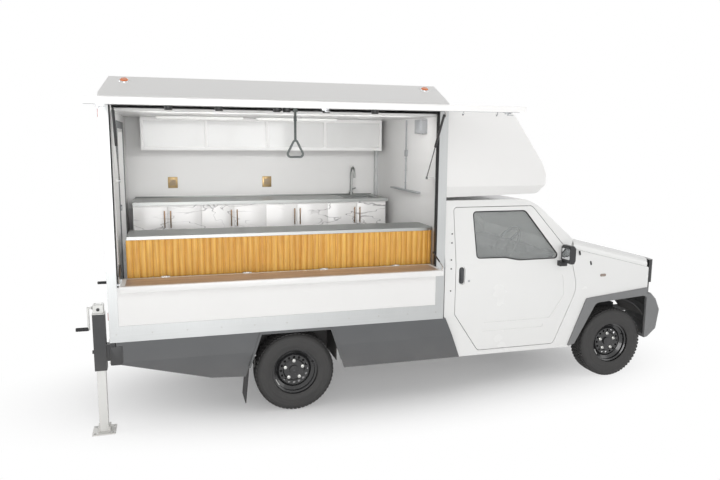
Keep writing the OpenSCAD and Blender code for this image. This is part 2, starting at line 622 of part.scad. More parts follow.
// Aluminium frame: sill bars, corner posts, roof rails and the shelf's hinge rail
module box_frame() placed() color("#c9cbcc") {
    sill_top = sill_z + sill_h;
    post_z = [sill_top + fit, wall_top - fit];
    both_sides() block([box_rear, side_y - wall_t + fit, sill_z], [box_front, side_y, sill_top]);
    for (x = [box_rear, box_front - wall_t + fit])
        block([x, -side_y + wall_t, sill_z], [x + wall_t - fit, side_y - wall_t, sill_top]);
    // Posts: [rear station, front station]
    for (p = [[box_rear, open_rear], [open_front, box_front]]) both_sides()
        block([p.x, side_y - post_d, post_z[0]], [p.y, side_y, post_z[1]]);
    // Roof rails
    difference() {
        union() {
            both_sides() block([box_rear, side_y - 60, wall_top], [box_front, side_y, wall_top + rail_top_t]);
            for (x = [box_rear, box_front - 60])
                block([x, -side_y + 59, wall_top], [x + 60, side_y - 59, wall_top + rail_top_t]);
        }
        block([box_rear + 60, -side_y + 60, wall_top - 1], [box_front - 60, side_y - 60, wall_top + 80]);
    }
    // Hinges of the serving hatch
    for (x = spread(hatch_rear + 20, hatch_front - 20, hatch_hinges)) translate([x, 0, 0]) {
        translate(hatch_axis) hinge_fixed();
        for (s = [-1, 1]) block([s * 22 - 9.7, hatch_axis.y, hatch_axis.z - 3], [s * 22 + 9.7, -side_y + 1, hatch_axis.z + 3]);
    }
    // Rail and hinges of the serving shelf
    block([rear_in + fit, -side_y + wall_t + fit, counter_z - 40], [open_front - fit, -side_y + 120, counter_z]);
    block([rear_in + fit, shelf_axis.y + hinge_r, counter_z - 1], [open_front - fit, -side_y + 120, shelf_axis.z - 5]);
    for (x = spread(shelf_rear, shelf_front, shelf_hinges)) translate([x, 0, 0]) {
        translate(shelf_axis) hinge_fixed();
        for (s = [-1, 1]) block([s * 22 - 9.7, shelf_axis.y, shelf_axis.z - 8], [s * 22 + 9.7, shelf_axis.y + 12, shelf_axis.z - 3]);
    }
    // Pins of the shelf stays on the posts
    for (i = [0, 1]) rod([i == 0 ? open_rear : open_front, stay_post.y, stay_post.z],
                         [stay_x[i] - (i == 0 ? -7 : 7), stay_post.y, stay_post.z], pin_r);
}

// Sandwich panels: left side, front, lower serving side and ceiling, with the pins of the struts
module box_walls() placed() color("#f4f3f0") {
    z0 = sill_z + sill_h + fit;
    block([open_rear + fit, side_y - wall_t, z0], [open_front - fit, side_y - 2, wall_top - fit]);
    block([front_in, -side_y + post_d + fit, z0], [box_front - 2, side_y - post_d - fit, wall_top - fit]);
    block([open_rear + fit, -side_y + 2, z0], [open_front - fit, -side_y + wall_t, counter_z]);
    block([rear_in + fit, -side_y + post_d + fit, ceiling_z], [front_in - fit, side_y - post_d - fit, ceiling_z + 20]);
    // Front strut pin
    rod([front_in + 1, strut_wall.y, strut_wall.z], [strut_x[1] + 7 + fit, strut_wall.y, strut_wall.z], 12);
    rod([front_in + 1, strut_wall.y, strut_wall.z], [strut_x[1] - 7, strut_wall.y, strut_wall.z], pin_r);
}

// Rear wall round the walk-in door, with a stop flange behind the door
module rear_wall() placed() color("#f4f3f0") {
    z0 = sill_z + sill_h + fit;
    half = rear_door_w / 2;
    top = deck_z + rear_door_h;
    difference() {
        block([box_rear + 2, -side_y + post_d + fit, z0], [rear_in, side_y - post_d - fit, wall_top - fit]);
        block([box_rear, -half - shut_gap, z0 - 1], [box_rear + 2 + 40 + fit, half + shut_gap, top + shut_gap]);
        block([box_rear, -half + 20, z0 - 1], [rear_in + 1, half - 20, top - 20]);
    }
    rod([rear_in - 1, strut_wall.y, strut_wall.z], [strut_x[0] - 7 - fit, strut_wall.y, strut_wall.z], 12);
    rod([rear_in - 1, strut_wall.y, strut_wall.z], [strut_x[0] + 7, strut_wall.y, strut_wall.z], pin_r);
}

// Walk-in door, hinged along its left edge
module rear_door() placed() color("#f4f3f0") {
    half = rear_door_w / 2;
    difference() {
        block([box_rear + 2, -half, sill_z + sill_h + shut_gap], [box_rear + 42, half, deck_z + rear_door_h]);
        block([box_rear + 1, -half + 70, 1000], [box_rear + 6, half - 70, 2180]);
    }
    // Pull handle outside
    translate([box_rear - 34, -half + 50, 0]) {
        translate([0, 0, 1500]) cylinder(h = 220, r = 11);
        for (z = [1520, 1700]) rod([0, 0, z], [40, 0, z], 8);
    }
}

eave = wall_top + rail_top_t + fit;
// Half section of the roof, d inside its outer face
function roof_half(d) = [[0, eave - 1 - d], [side_y - d, eave - 1 - d], [side_y - d, eave + 14],
    [roof_flat_w / 2 - d / 3, eave + roof_rise - d], [0, eave + roof_rise - d]];
module box_roof() placed() color("#dfe0df") {
    difference() {
        intersection() {
            along(box_rear, box_front + 5) polygon(whole(roof_half(0)));
            across(-side_y, side_y) polygon([[box_rear + 2, eave], [box_front + 4, eave],
                [box_front + 4, eave + 60], [box_front - 8, eave + roof_rise + 1], [box_rear + 62, eave + roof_rise + 1],
                [box_rear + 2, eave + 40]]);
        }
        along(box_rear + 40, box_front - 30) polygon(whole(roof_half(roof_t)));
    }
}

pod_profile = rounded([[box_front + fit, 1768, 0], [box_front + pod_l - 60, 1792, 40], [box_front + pod_l, 1880, 40],
    [box_front + pod_l, 1960, 60], [box_front + pod_l - 40, 2060, 60], [box_front + 610, wall_top, 60],
    [box_front + fit, wall_top, 0]]);
// Half section of the pod, d inside its outer face
function pod_half(d) = [[0, 1700], [pod_w / 2 - 75 - d, 1700], [pod_w / 2 - 62 - d, 1768], [pod_w / 2 - d, 1865],
    [pod_w / 2 - d, wall_top - 40], [pod_w / 2 - d - 12, 2600], [0, 2600]];
module cab_pod() placed() color("#f4f3f0") {
    y = pod_w / 2;
    difference() {
        intersection() {
            across(-y, y) polygon(pod_profile);
            along(box_front, box_front + pod_l + 1) polygon(whole(pod_half(0)));
        }
        intersection() {
            across(-y, y) translate([-30, 0]) polygon(grown(pod_profile, -28));
            along(box_front, box_front + pod_l) polygon(whole(pod_half(28)));
        }
    }
}

// ---------- Kitchen fittings ----------
front_y0 = -side_y + 140;                   // customer side of the front counter
counter_rear = rear_in + 60;
counter_front = front_in - 6;
counter_bend = 60;                          // radius of the counter's front corner
// Front counter: worktop on a carcass that is open towards the cook
module front_counter() placed() color("#a9abac") {
    y1 = front_y0 + front_counter_d;
    translate([0, 0, front_top_z - 25]) linear_extrude(25) polygon(rounded([[counter_rear, front_y0, 0],
        [counter_front, front_y0, counter_bend + 4], [counter_front, y1, 20], [counter_rear, y1, 0]]));
    difference() {
        block([counter_rear + 20, front_y0 + 22, deck_z + fit], [counter_front - counter_bend - 2, y1 - 20, front_top_z - 24]);
        for (x = spread(counter_rear + 20, counter_front - counter_bend - 2, 3)) {
            half = (counter_front - counter_rear - counter_bend - 22) / 6 - 12;
            block([x - half, front_y0 + 40, deck_z + 90], [x + half, y1, deck_z + 370]);
            block([x - half, front_y0 + 40, deck_z + 390], [x + half, y1, front_top_z - 50]);
        }
    }
}
// Fluted panel on the customer side, its front end turned round to the back
module slat_panel() placed() color("#eeaa4c") {
    bend = counter_bend;
    block([counter_rear + 2, front_y0 + 4, deck_z + 2], [counter_front - bend, front_y0 + 22 - fit, front_top_z - 25 - fit]);
    intersection() {
        translate([counter_front - bend, front_y0 + 4 + bend, deck_z + 2]) difference() {
            cylinder(h = front_top_z - 27 - fit - deck_z, r = bend);
            translate([0, 0, -1]) cylinder(h = 2000, r = bend - 17.7);
        }
        block([counter_front - bend - 1, front_y0, deck_z], [counter_front + 10, front_y0 + 4 + bend, front_top_z]);
    }
}

back_y0 = side_y - wall_t - fit - back_counter_d;
sink_x = [counter_front - 480, counter_front - 120];
module back_cabinets() placed() color("#f0eeeb") difference() {
    block([counter_rear, back_y0 + 15, deck_z + fit], [counter_front - 60, back_y0 + back_counter_d, back_top_z - 30 - fit]);
    block([counter_rear + 18, back_y0 + 35, deck_z + 90], [counter_front - 540, back_y0 + back_counter_d + 1, back_top_z - 60]);
    block([counter_front - 520, back_y0 + 35, deck_z + 90], [counter_front - 78, back_y0 + back_counter_d + 1, back_top_z]);
    block([counter_rear - 1, back_y0 + 14, deck_z - 1], [counter_front, back_y0 + 60, deck_z + 80]);
}
// Steel worktop with its sink and the arched tap
module back_worktop() placed() color("#b5b7b8") {
    y0 = back_y0 + 90;
    y1 = back_y0 + back_counter_d - 100;
    difference() {
        union() {
            block([counter_rear, back_y0, back_top_z - 30], [counter_front - 40, back_y0 + back_counter_d, back_top_z]);
            block([sink_x[0] - 3, y0 - 3, back_top_z - 170], [sink_x[1] + 3, y1 + 3, back_top_z - 29]);
        }
        block([sink_x[0], y0, back_top_z - 167], [sink_x[1], y1, back_top_z + 1]);
        block([counter_rear + 12, back_y0 + 12, back_top_z - 31], [sink_x[0] - 20, back_y0 + back_counter_d - 12, back_top_z - 4]);
    }
    // Tap: stem, half-circle arch and spout
    tap = [(sink_x[0] + sink_x[1]) / 2, y1 + 45, back_top_z];
    translate(tap) {
        translate([0, 0, -1]) cylinder(h = 31, r = 22);
        cylinder(h = 242, r = 12);
        translate([0, -60, 240]) rotate([90, 0, 90]) rotate_extrude(angle = 180) translate([60, 0]) circle(r = 10, $fn = 24);
        translate([0, -120, 190]) cylinder(h = 52, r = 12);
        rod([0, 0, 60], [50, 0, 75], 7);
    }
}

cabinet_rear = rear_in + 150;
cabinet_front = front_in - 60;
cabinet_y0 = side_y - wall_t - fit - wall_cabinet_d;
bays = spread(cabinet_rear + 14, cabinet_front - 14, 4);
bay_half = (cabinet_front - cabinet_rear - 28) / 8 - 12;
module wall_cabinets() placed() color("#f6f5f2") difference() {
    block([cabinet_rear, cabinet_y0, wall_cabinet_z], [cabinet_front, side_y - wall_t - fit, ceiling_z - fit]);
    for (x = bays) {
        block([x - bay_half - 4, cabinet_y0 + 22, wall_cabinet_z + 20], [x + bay_half + 4, side_y - wall_t - 18, ceiling_z - 18]);
        block([x - bay_half, cabinet_y0 - 1, wall_cabinet_z + 32], [x + bay_half, cabinet_y0 + 23, ceiling_z - 30]);
    }
}
module cabinet_glass() placed() color([0.75, 0.8, 0.82, 0.35]) for (x = bays)
    block([x - bay_half + 0.5, cabinet_y0 + 8, wall_cabinet_z + 32.5], [x + bay_half - 0.5, cabinet_y0 + 12, ceiling_z - 30.5]);

// ---------- Serving side ----------
module hatch_place() translate(hatch_axis) rotate([hatch_droop, 0, 0]) children();
module serving_hatch() placed() color("#f6f6f4") {
    half_t = hatch_t / 2;
    hatch_place() {
        difference() {
            union() {
                block([hatch_rear, -hatch_w, -half_t], [hatch_front, -12, half_t]);
                for (x = spread(hatch_rear + 20, hatch_front - 20, hatch_hinges)) translate([x, 0, 0]) {
                    rod([-12, 0, 0], [12, 0, 0], hinge_r);
                    block([-12, -14, -3], [12, 0, 3]);
                }
            }
            // Recess of the underside between its edge frame
            block([hatch_rear + 40, -hatch_w + 40, -half_t - 1], [hatch_front - 40, -50, -half_t + 5]);
            for (x = spread(hatch_rear + 20, hatch_front - 20, hatch_hinges)) translate([x, 0, 0]) hinge_bore();
        }
    }
    // Lugs beside the strut eyes
    translate(hatch_axis) for (i = [0, 1]) {
        x0 = strut_x[i] + (i == 0 ? -11.5 - 5 : 11.5);
        block([x0, -135, -77], [x0 + 5, -95, -20]);
    }
}
// Pull strap: webbing under the hatch with a triangular grip
module grab_handle() placed() color("#87908c") translate([-150, 0, 0]) hatch_place() translate([0, -755, -hatch_t / 2 + 5 - fit])
    rotate([-hatch_droop, 0, 0]) {
        translate([-14, -7, -22]) cube([28, 14, 21.6]);
        translate([-9, -1.5, -206]) cube([18, 3, 190]);
        rod([0, 0, -195], [-52, 0, -300], 6);
        rod([0, 0, -195], [52, 0, -300], 6);
        rod([-52, 0, -300], [52, 0, -300], 7);
        for (s = [-1, 1]) translate([s * 52, 0, -300]) sphere(r = 7);
        translate([0, 0, -195]) sphere(r = 9);
    }

// Gas strut, drawn along z from its wall pin
module along_line(a, b) {
    d = b - a;
    translate(a) rotate([-atan2(d.y, d.z), 0, 0]) children();
}
module eye(r) rotate([0, 90, 0]) difference() {
    translate([0, 0, -7]) cylinder(h = 14, r = r);
    translate([0, 0, -8]) cylinder(h = 16, r = pin_r + fit);
}
module hatch_strut_rods() placed() color("#2d2e30") for (x = strut_x) translate([x, 0, 0])
    along_line(strut_wall, strut_hatch) {
        eye(11);
        translate([0, 0, 10]) cylinder(h = strut_rod_l - 10, r = 5);
    }
module hatch_strut_tubes() placed() color("#1f2022") for (x = strut_x) translate([x, 0, 0])
    along_line(strut_wall, strut_hatch) {
        translate([0, 0, strut_len]) eye(11);
        difference() {
            translate([0, 0, strut_len - strut_tube_l]) cylinder(h = strut_tube_l - 9, r = 10.5);
            translate([0, 0, strut_len - strut_tube_l - 1]) cylinder(h = strut_tube_l - 20, r = 5 + fit);
        }
    }

module serving_shelf() placed() color("#f6f6f4") {
    difference() {
        union() {
            block([shelf_rear, shelf_axis.y - shelf_w, shelf_axis.z - shelf_t], [shelf_front, shelf_axis.y - 10, shelf_axis.z]);
            for (x = spread(shelf_rear, shelf_front, shelf_hinges)) translate(shelf_axis + [x, 0, 0]) {
                rod([-12, 0, 0], [12, 0, 0], hinge_r);
                block([-12, -12, -6], [12, 0, 0]);
            }
        }
        // Sunk top panel
        block([shelf_rear + 30, shelf_axis.y - shelf_w + 32, shelf_axis.z - 2], [shelf_front - 30, shelf_axis.y - 30, shelf_axis.z + 9]);
        for (x = spread(shelf_rear, shelf_front, shelf_hinges)) translate(shelf_axis + [x, 0, 0]) hinge_bore();
    }
    // Bosses beside the stay eyes
    for (i = [0, 1]) {
        edge = i == 0 ? shelf_rear : shelf_front;
        out = i == 0 ? -1 : 1;
        block([min(edge - out, edge + out * 6), stay_shelf.y - 12, shelf_axis.z - 20],
              [max(edge - out, edge + out * 6), stay_shelf.y + 12, stay_shelf.z + 8]);
    }
}
module shelf_stay_tubes() placed() color("#1f2022") for (x = stay_x) translate([x, 0, 0])
    along_line(stay_post, stay_shelf) {
        eye(10);
        difference() {
            translate([0, 0, 8]) cylinder(h = stay_tube_l - 8, r = 6.5);
            translate([0, 0, 9]) cylinder(h = stay_tube_l, r = 3 + fit);
        }
    }
module shelf_stay_rods() placed() color("#3a3b3d") for (x = stay_x) translate([x, 0, 0])
    along_line(stay_post, stay_shelf) {
        translate([0, 0, stay_len]) eye(10);
        translate([0, 0, stay_len - stay_rod_l]) cylinder(h = stay_rod_l - 7, r = 3);
    }

// ---------- Lower body ----------
module side_skirts() placed() color("#4a4c4e") both_sides() {
    bottom = 340;
    crease = 560;
    // Folded section: upright, then turned in below the crease
    for (outline = [
        [[box_rear + 45, 550], [-680, 362], [-415, 345], [-300, sill_z + 1], [box_rear + 45, sill_z + 1]],
        [[415, 345], [1475, 345], [box_front + 24, sill_z + 1], [300, sill_z + 1]]]) intersection() {
        along(box_rear, 1500) polygon([[side_y - 32, sill_z - fit], [side_y - 32, crease], [side_y - 72, bottom],
            [side_y - 44, bottom], [side_y - 2, crease], [side_y - 2, sill_z - fit]]);
        across(side_y - 90, side_y) polygon(outline);
    }
    // Lip over the rear arch
    across(side_y - 32, side_y + 4) polygon([[-300 + 2, sill_z - fit], [-392, 430], [-378, 430], [-286, sill_z - 22],
        [286, sill_z - 22], [378, 430], [392, 430], [300 - 2, sill_z - fit]]);
}

module rear_bumper() placed() color("#3b3d3f") {
    across(-side_y + 4, side_y - 4) polygon([[box_rear, 545], [box_rear + 38, 545], [box_rear + 38, sill_z - fit], [box_rear, sill_z - fit]]);
    both_sides() block([box_rear + 37, rail_y - 26, rail_z + 75], [box_rear + 95 - fit, rail_y + 26, rail_z + rail_h - 10]);
}

jack_x = box_rear - 30 - jack_w / 2;
jack_cavity = 64 + 2 * fit;
// Square jack tubes with their gear heads, cranks and brackets on the bumper
module jack_tubes() placed() color("#36383a") both_sides() translate([jack_x, jack_y, 0]) {
    difference() {
        union() {
            translate([-jack_w / 2, -jack_w / 2, 500]) cube([jack_w, jack_w, 445]);
            block([jack_w / 2 - 1, -32, 570], [jack_w / 2 + 30 - fit, 32, 700]);
        }
        translate([-jack_cavity / 2, -jack_cavity / 2, 499]) cube([jack_cavity, jack_cavity, 437]);
    }
    translate([-jack_w / 2 + 8, -jack_w / 2 + 8, 944]) cube([jack_w - 16, jack_w - 16, 66]);
    // Crank: shaft, arm and grip
    rod([-jack_w / 2 + 12, 0, 985], [-78, 0, 985], 8);
    rod([-74, 0, 985], [-74, 0, 822], 8);
    rod([-74, 0, 822], [crank_x - jack_x, 0, 822], 13);
    rod([-jack_w / 2 - 14, 0, 640], [-jack_w / 2 + 4, 0, 640], 14);
}
// Square leg with its foot plate
module jack_leg(side) translate([jack_x, side * jack_y, 0]) {
    translate([-32, -32, 8]) cube([64, 64, 602]);
    translate([-85, -85, 0]) cube([170, 170, 10]);
    for (a = [45, 135]) rotate([0, 0, a]) translate([-62, -3, 9]) cube([124, 6, 40]);
}
module right_jack_leg() placed() color("#e8e8e6") jack_leg(-1);
module left_jack_leg() placed() color("#e8e8e6") jack_leg(1);

ladder_frame();
engine_block();
exhaust();
fuel_tank();
rear_axle();
front_suspension();
wheel_liners();
cab_body();
front_wings();
front_trim();
grille_panel();
windscreen();
dashboard();
cab_seats();
box_floor();
box_frame();
box_walls();
rear_wall();
box_roof();
cab_pod();
front_counter();
slat_panel();
back_cabinets();
back_worktop();
wall_cabinets();
cabinet_glass();
side_skirts();
rear_bumper();
jack_tubes();
steering_wheel();
hood();
right_door();
left_door();
right_door_glass();
left_door_glass();
right_mirror();
left_mirror();
right_knuckle();
left_knuckle();
right_front_tyre();
left_front_tyre();
right_rear_tyre();
left_rear_tyre();
right_front_rim();
left_front_rim();
right_rear_rim();
left_rear_rim();
serving_hatch();
grab_handle();
serving_shelf();
rear_door();
right_jack_leg();
left_jack_leg();
hatch_strut_rods();
hatch_strut_tubes();
shelf_stay_tubes();
shelf_stay_rods();
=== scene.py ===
import math

import bmesh
import bpy
from mathutils import Matrix, Vector


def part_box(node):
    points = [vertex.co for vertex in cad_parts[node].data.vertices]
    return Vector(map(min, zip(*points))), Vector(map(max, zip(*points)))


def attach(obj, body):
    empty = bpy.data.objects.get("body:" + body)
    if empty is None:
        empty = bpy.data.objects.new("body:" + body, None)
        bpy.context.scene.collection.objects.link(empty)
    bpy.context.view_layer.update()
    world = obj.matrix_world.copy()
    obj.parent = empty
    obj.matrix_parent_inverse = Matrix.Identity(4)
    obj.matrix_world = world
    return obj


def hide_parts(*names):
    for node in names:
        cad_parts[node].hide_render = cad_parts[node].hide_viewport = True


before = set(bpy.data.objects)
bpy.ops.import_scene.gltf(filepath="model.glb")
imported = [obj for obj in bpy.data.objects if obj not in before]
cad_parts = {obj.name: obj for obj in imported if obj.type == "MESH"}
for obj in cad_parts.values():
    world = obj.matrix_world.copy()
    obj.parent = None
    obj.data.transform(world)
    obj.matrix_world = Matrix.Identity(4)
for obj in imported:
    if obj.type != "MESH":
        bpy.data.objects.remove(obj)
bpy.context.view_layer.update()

# ---------- Camera and studio ----------
# A pale seamless floor under the parked truck, and a camera at eye height
# beyond the serving side. Places count from the rear axle on the ground.
right_tyre_low, right_tyre_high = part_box("right_rear_tyre")
left_tyre_low, left_tyre_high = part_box("left_rear_tyre")
axle = Vector(((right_tyre_low.x + right_tyre_high.x) / 2, (right_tyre_low.y + left_tyre_high.y) / 2, 0))
to_metres = Matrix.Translation(axle) @ Matrix.Scale(0.001, 4)


def at(x, y, z):
    """A place in millimetres from the rear axle's middle on the ground, in metres here."""
    return to_metres @ Vector((x, y, z))


lens_data = bpy.data.cameras.new("view_camera")
lens_data.sensor_width = 36
lens_data.lens = 32.81
lens_data.clip_end = 200
camera = bpy.data.objects.new("view_camera", lens_data)
yaw, pitch, roll = (math.radians(a) for a in (16.464, 8.729, 0.455))
camera.matrix_world = (Matrix.Translation(at(-978, -6026, 2257)) @ Matrix.Rotation(-yaw, 4, "Z")
                       @ Matrix.Rotation(math.pi / 2 - pitch, 4, "X") @ Matrix.Rotation(roll, 4, "Z"))
bpy.context.scene.collection.objects.link(camera)
bpy.context.scene.camera = camera
bpy.context.scene.view_settings.view_transform = "Standard"


def add_node(nodes, kind, values={}, **settings):
    """A new node with its input values and settings."""
    node = nodes.new(kind)
    for name, value in settings.items():
        setattr(node, name, value)
    for name, value in values.items():
        node.inputs[name].default_value = value
    return node


def wire(links, *joins):
    """Links each (node, output, node, input)."""
    for start, output, end, entry in joins:
        links.new(start.outputs[output], end.inputs[entry])


def new_material(name):
    """An empty node material with its output and principled shader."""
    material = bpy.data.materials.new(name)
    material.use_nodes = True
    tree = material.node_tree
    return material, tree.nodes, tree.links, tree.nodes["Principled BSDF"]


floor_paper, nodes, links, shader = new_material("floor_paper")
shader.inputs["Roughness"].default_value = 0.9
shader.inputs["Specular IOR Level"].default_value = 0.1
place = add_node(nodes, "ShaderNodeTexCoord")
spots = add_node(nodes, "ShaderNodeTexNoise", {"Scale": 0.6})
tone = add_node(nodes, "ShaderNodeMixRGB", {1: (0.96, 0.96, 0.96, 1), 2: (0.98, 0.98, 0.98, 1)})
wire(links, (place, "Object", spots, "Vector"), (spots, "Fac", tone, 0), (tone, 0, shader, "Base Color"))
# Away from the truck the paper fades into plain white
oval = add_node(nodes, "ShaderNodeMapping", {"Location": (0.08, -0.45, 0), "Scale": (0.42, 1, 1)})
away = add_node(nodes, "ShaderNodeVectorMath", operation="LENGTH")
fade = add_node(nodes, "ShaderNodeMapRange", {"From Min": 0.6, "From Max": 1.55, "To Min": 0.2},
                interpolation_type="SMOOTHSTEP")
rays = add_node(nodes, "ShaderNodeLightPath")
looked_at = add_node(nodes, "ShaderNodeMath", operation="MAXIMUM")
bare = add_node(nodes, "ShaderNodeMath", operation="MULTIPLY")
white = add_node(nodes, "ShaderNodeEmission")
blend = add_node(nodes, "ShaderNodeMixShader")
wire(links, (place, "Object", oval, "Vector"), (oval, "Vector", away, 0), (away, "Value", fade, "Value"),
     (rays, "Is Camera Ray", looked_at, 0), (rays, "Is Glossy Ray", looked_at, 1), (fade, "Result", bare, 0),
     (looked_at, 0, bare, 1), (bare, 0, blend, 0), (shader, 0, blend, 1), (white, 0, blend, 2))
links.new(blend.outputs[0], nodes["Material Output"].inputs["Surface"])
floor_mesh = bpy.data.meshes.new("studio_floor")
reach = 60.0
floor_mesh.from_pydata([(-reach, -reach, 0), (reach, -reach, 0), (reach, reach, 0), (-reach, reach, 0)], [],
                       [(0, 1, 2, 3)])
studio_floor = bpy.data.objects.new("studio_floor", floor_mesh)
bpy.context.scene.collection.objects.link(studio_floor)
floor_mesh.materials.append(floor_paper)

world = bpy.data.worlds.new("studio_world")
bpy.context.scene.world = world
world.use_nodes = True
sky_nodes, sky_links = world.node_tree.nodes, world.node_tree.links
sky = sky_nodes["Background"]
sky.inputs["Color"].default_value = (1, 1, 1, 1)
rays = add_node(sky_nodes, "ShaderNodeLightPath")
seen = add_node(sky_nodes, "ShaderNodeMath", operation="MAXIMUM")
either = add_node(sky_nodes, "ShaderNodeMath", operation="MAXIMUM")
strength = add_node(sky_nodes, "ShaderNodeMapRange", {"To Min": 0.45, "To Max": 1.0})
wire(sky_links, (rays, "Is Camera Ray", seen, 0), (rays, "Is Glossy Ray", seen, 1), (seen, 0, either, 0),
     (rays, "Is Transmission Ray", either, 1), (either, 0, strength, "Value"),
     (strength, "Result", sky, "Strength"))

for lamp_name, power, size, place in (("overhead_softbox", 45, 7.0, (0.4, -0.8, 6.6)),
                                      ("serving_side_softbox", 400, 5.5, (-1.8, -8.5, 2.0)),
                                      ("nose_softbox", 40, 3.5, (6.5, -3.5, 3.2)),
                                      ("far_side_softbox", 170, 5.0, (-1.0, 8.5, 3.5)),
                                      ("tail_softbox", 110, 4.0, (-8.0, 1.0, 3.0)),
                                      ("kitchen_softbox", 12, 2.2, (-1.08, -0.24, 2.40))):
    lamp_data = bpy.data.lights.new(lamp_name, "AREA")
    lamp_data.energy, lamp_data.size = power, size
    lamp = bpy.data.objects.new(lamp_name, lamp_data)
    lamp.location = place
    aimed_at = (0, 0.3, 1.0)
    if lamp_name == "kitchen_softbox":
        lamp_data.shape, lamp_data.size_y, aimed_at = "RECTANGLE", 0.16, (-1.08, 1.4, 1.75)
    lamp.visible_glossy = lamp_name not in ("kitchen_softbox", "overhead_softbox")
    lamp.rotation_euler = (Vector(aimed_at) - Vector(place)).to_track_quat("-Z", "Y").to_euler()
    bpy.context.scene.collection.objects.link(lamp)


# ---------- Painted steel cab ----------
# Pressed steel cab, doors, wings and hood in gloss white: a smooth coat with a
# trace of orange peel, road film that gathers towards the sills.
def finish(slots, name, color, rough, metal=0.0, coat=0.0, mottle=(3.0, 0.03), grain=(400.0, 0.02),
           stretch=(1, 1, 1), film=None, worn=None, smears=0.06):
    """A finish for the named nodes: broad tone changes, fine grain, a low film of dust, worn edges."""
    material, nodes, links, shader = new_material(name)
    shader.inputs["Metallic"].default_value = metal
    shader.inputs["Coat Weight"].default_value = coat
    shader.inputs["Coat Roughness"].default_value = 0.06
    place = add_node(nodes, "ShaderNodeTexCoord")
    turned = add_node(nodes, "ShaderNodeMapping", {"Scale": stretch})
    wire(links, (place, "Object", turned, "Vector"))
    broad = add_node(nodes, "ShaderNodeTexNoise", {"Scale": mottle[0], "Detail": 5})
    wire(links, (turned, "Vector", broad, "Vector"))
    darker = (*[c * (1 - mottle[1]) for c in color], 1)
    lighter = (*[min(1, c * (1 + mottle[1])) for c in color], 1)
    tone = add_node(nodes, "ShaderNodeMixRGB", {1: darker, 2: lighter})
    wire(links, (broad, "Fac", tone, 0))
    result = tone
    if film:
        film_top, film_color, film_amount = film
        height = add_node(nodes, "ShaderNodeSeparateXYZ")
        wire(links, (place, "Object", height, 0))
        low = add_node(nodes, "ShaderNodeMapRange",
                       {"From Min": film_top, "From Max": 0.0, "To Max": film_amount})
        wire(links, (height, "Z", low, "Value"))
        patches = add_node(nodes, "ShaderNodeMath", operation="MULTIPLY")
        wire(links, (low, "Result", patches, 0), (broad, "Fac", patches, 1))
        dusty = add_node(nodes, "ShaderNodeMixRGB", {2: (*film_color, 1)})
        wire(links, (patches, 0, dusty, 0), (result, 0, dusty, 1))
        result = dusty
    if worn:
        worn_color, worn_amount = worn
        soft = add_node(nodes, "ShaderNodeBevel", {"Radius": 0.004}, samples=3)
        flat = add_node(nodes, "ShaderNodeNewGeometry")
        dot = add_node(nodes, "ShaderNodeVectorMath", operation="DOT_PRODUCT")
        wire(links, (soft, "Normal", dot, 0), (flat, "True Normal", dot, 1))
        edge = add_node(nodes, "ShaderNodeMapRange",
                        {"From Min": 0.98, "From Max": 0.80, "To Max": worn_amount})
        wire(links, (dot, "Value", edge, "Value"))
        rubbed = add_node(nodes, "ShaderNodeMixRGB", {2: (*worn_color, 1)})
        wire(links, (edge, "Result", rubbed, 0), (result, 0, rubbed, 1))
        result = rubbed
    wire(links, (result, 0, shader, "Base Color"))
    fine = add_node(nodes, "ShaderNodeTexNoise", {"Scale": grain[0], "Detail": 3})
    wire(links, (turned, "Vector", fine, "Vector"))
    gloss = add_node(nodes, "ShaderNodeMapRange",
                     {"To Min": max(0.02, rough - smears), "To Max": rough + smears})
    wire(links, (broad, "Fac", gloss, "Value"), (gloss, "Result", shader, "Roughness"))
    relief = add_node(nodes, "ShaderNodeBump", {"Strength": grain[1], "Distance": 0.002})
    wire(links, (fine, "Fac", relief, "Height"), (relief, "Normal", shader, "Normal"))
    for node in slots:
        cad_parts[node].data.materials.clear()
        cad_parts[node].data.materials.append(material)
    return material


road_dust = (0.42, 0.39, 0.35)
cab_paint = finish(["cab_body", "front_wings", "hood", "right_door", "left_door"], "cab_white_paint",
                   (0.80, 0.80, 0.79), 0.26, coat=0.6, mottle=(2.0, 0.015), grain=(260.0, 0.03),
                   film=(0.9, road_dust, 0.12))

# ---------- Box panels ----------
# Sandwich panels with a smooth white skin: walls, roof, hatch, shelf and the pod over the cab.
panel_skin = finish(["box_walls", "rear_wall", "rear_door", "cab_pod", "serving_hatch", "serving_shelf",
                     "wall_cabinets", "box_roof"], "panel_white_skin", (0.80, 0.795, 0.785), 0.38,
                    coat=0.15, mottle=(1.6, 0.02), grain=(180.0, 0.05))
jack_paint = finish(["right_jack_leg", "left_jack_leg"], "jack_white_paint", (0.74, 0.74, 0.72), 0.4,
                    mottle=(9.0, 0.06), grain=(300.0, 0.08), film=(0.4, road_dust, 0.5),
                    worn=((0.35, 0.33, 0.31), 0.7))

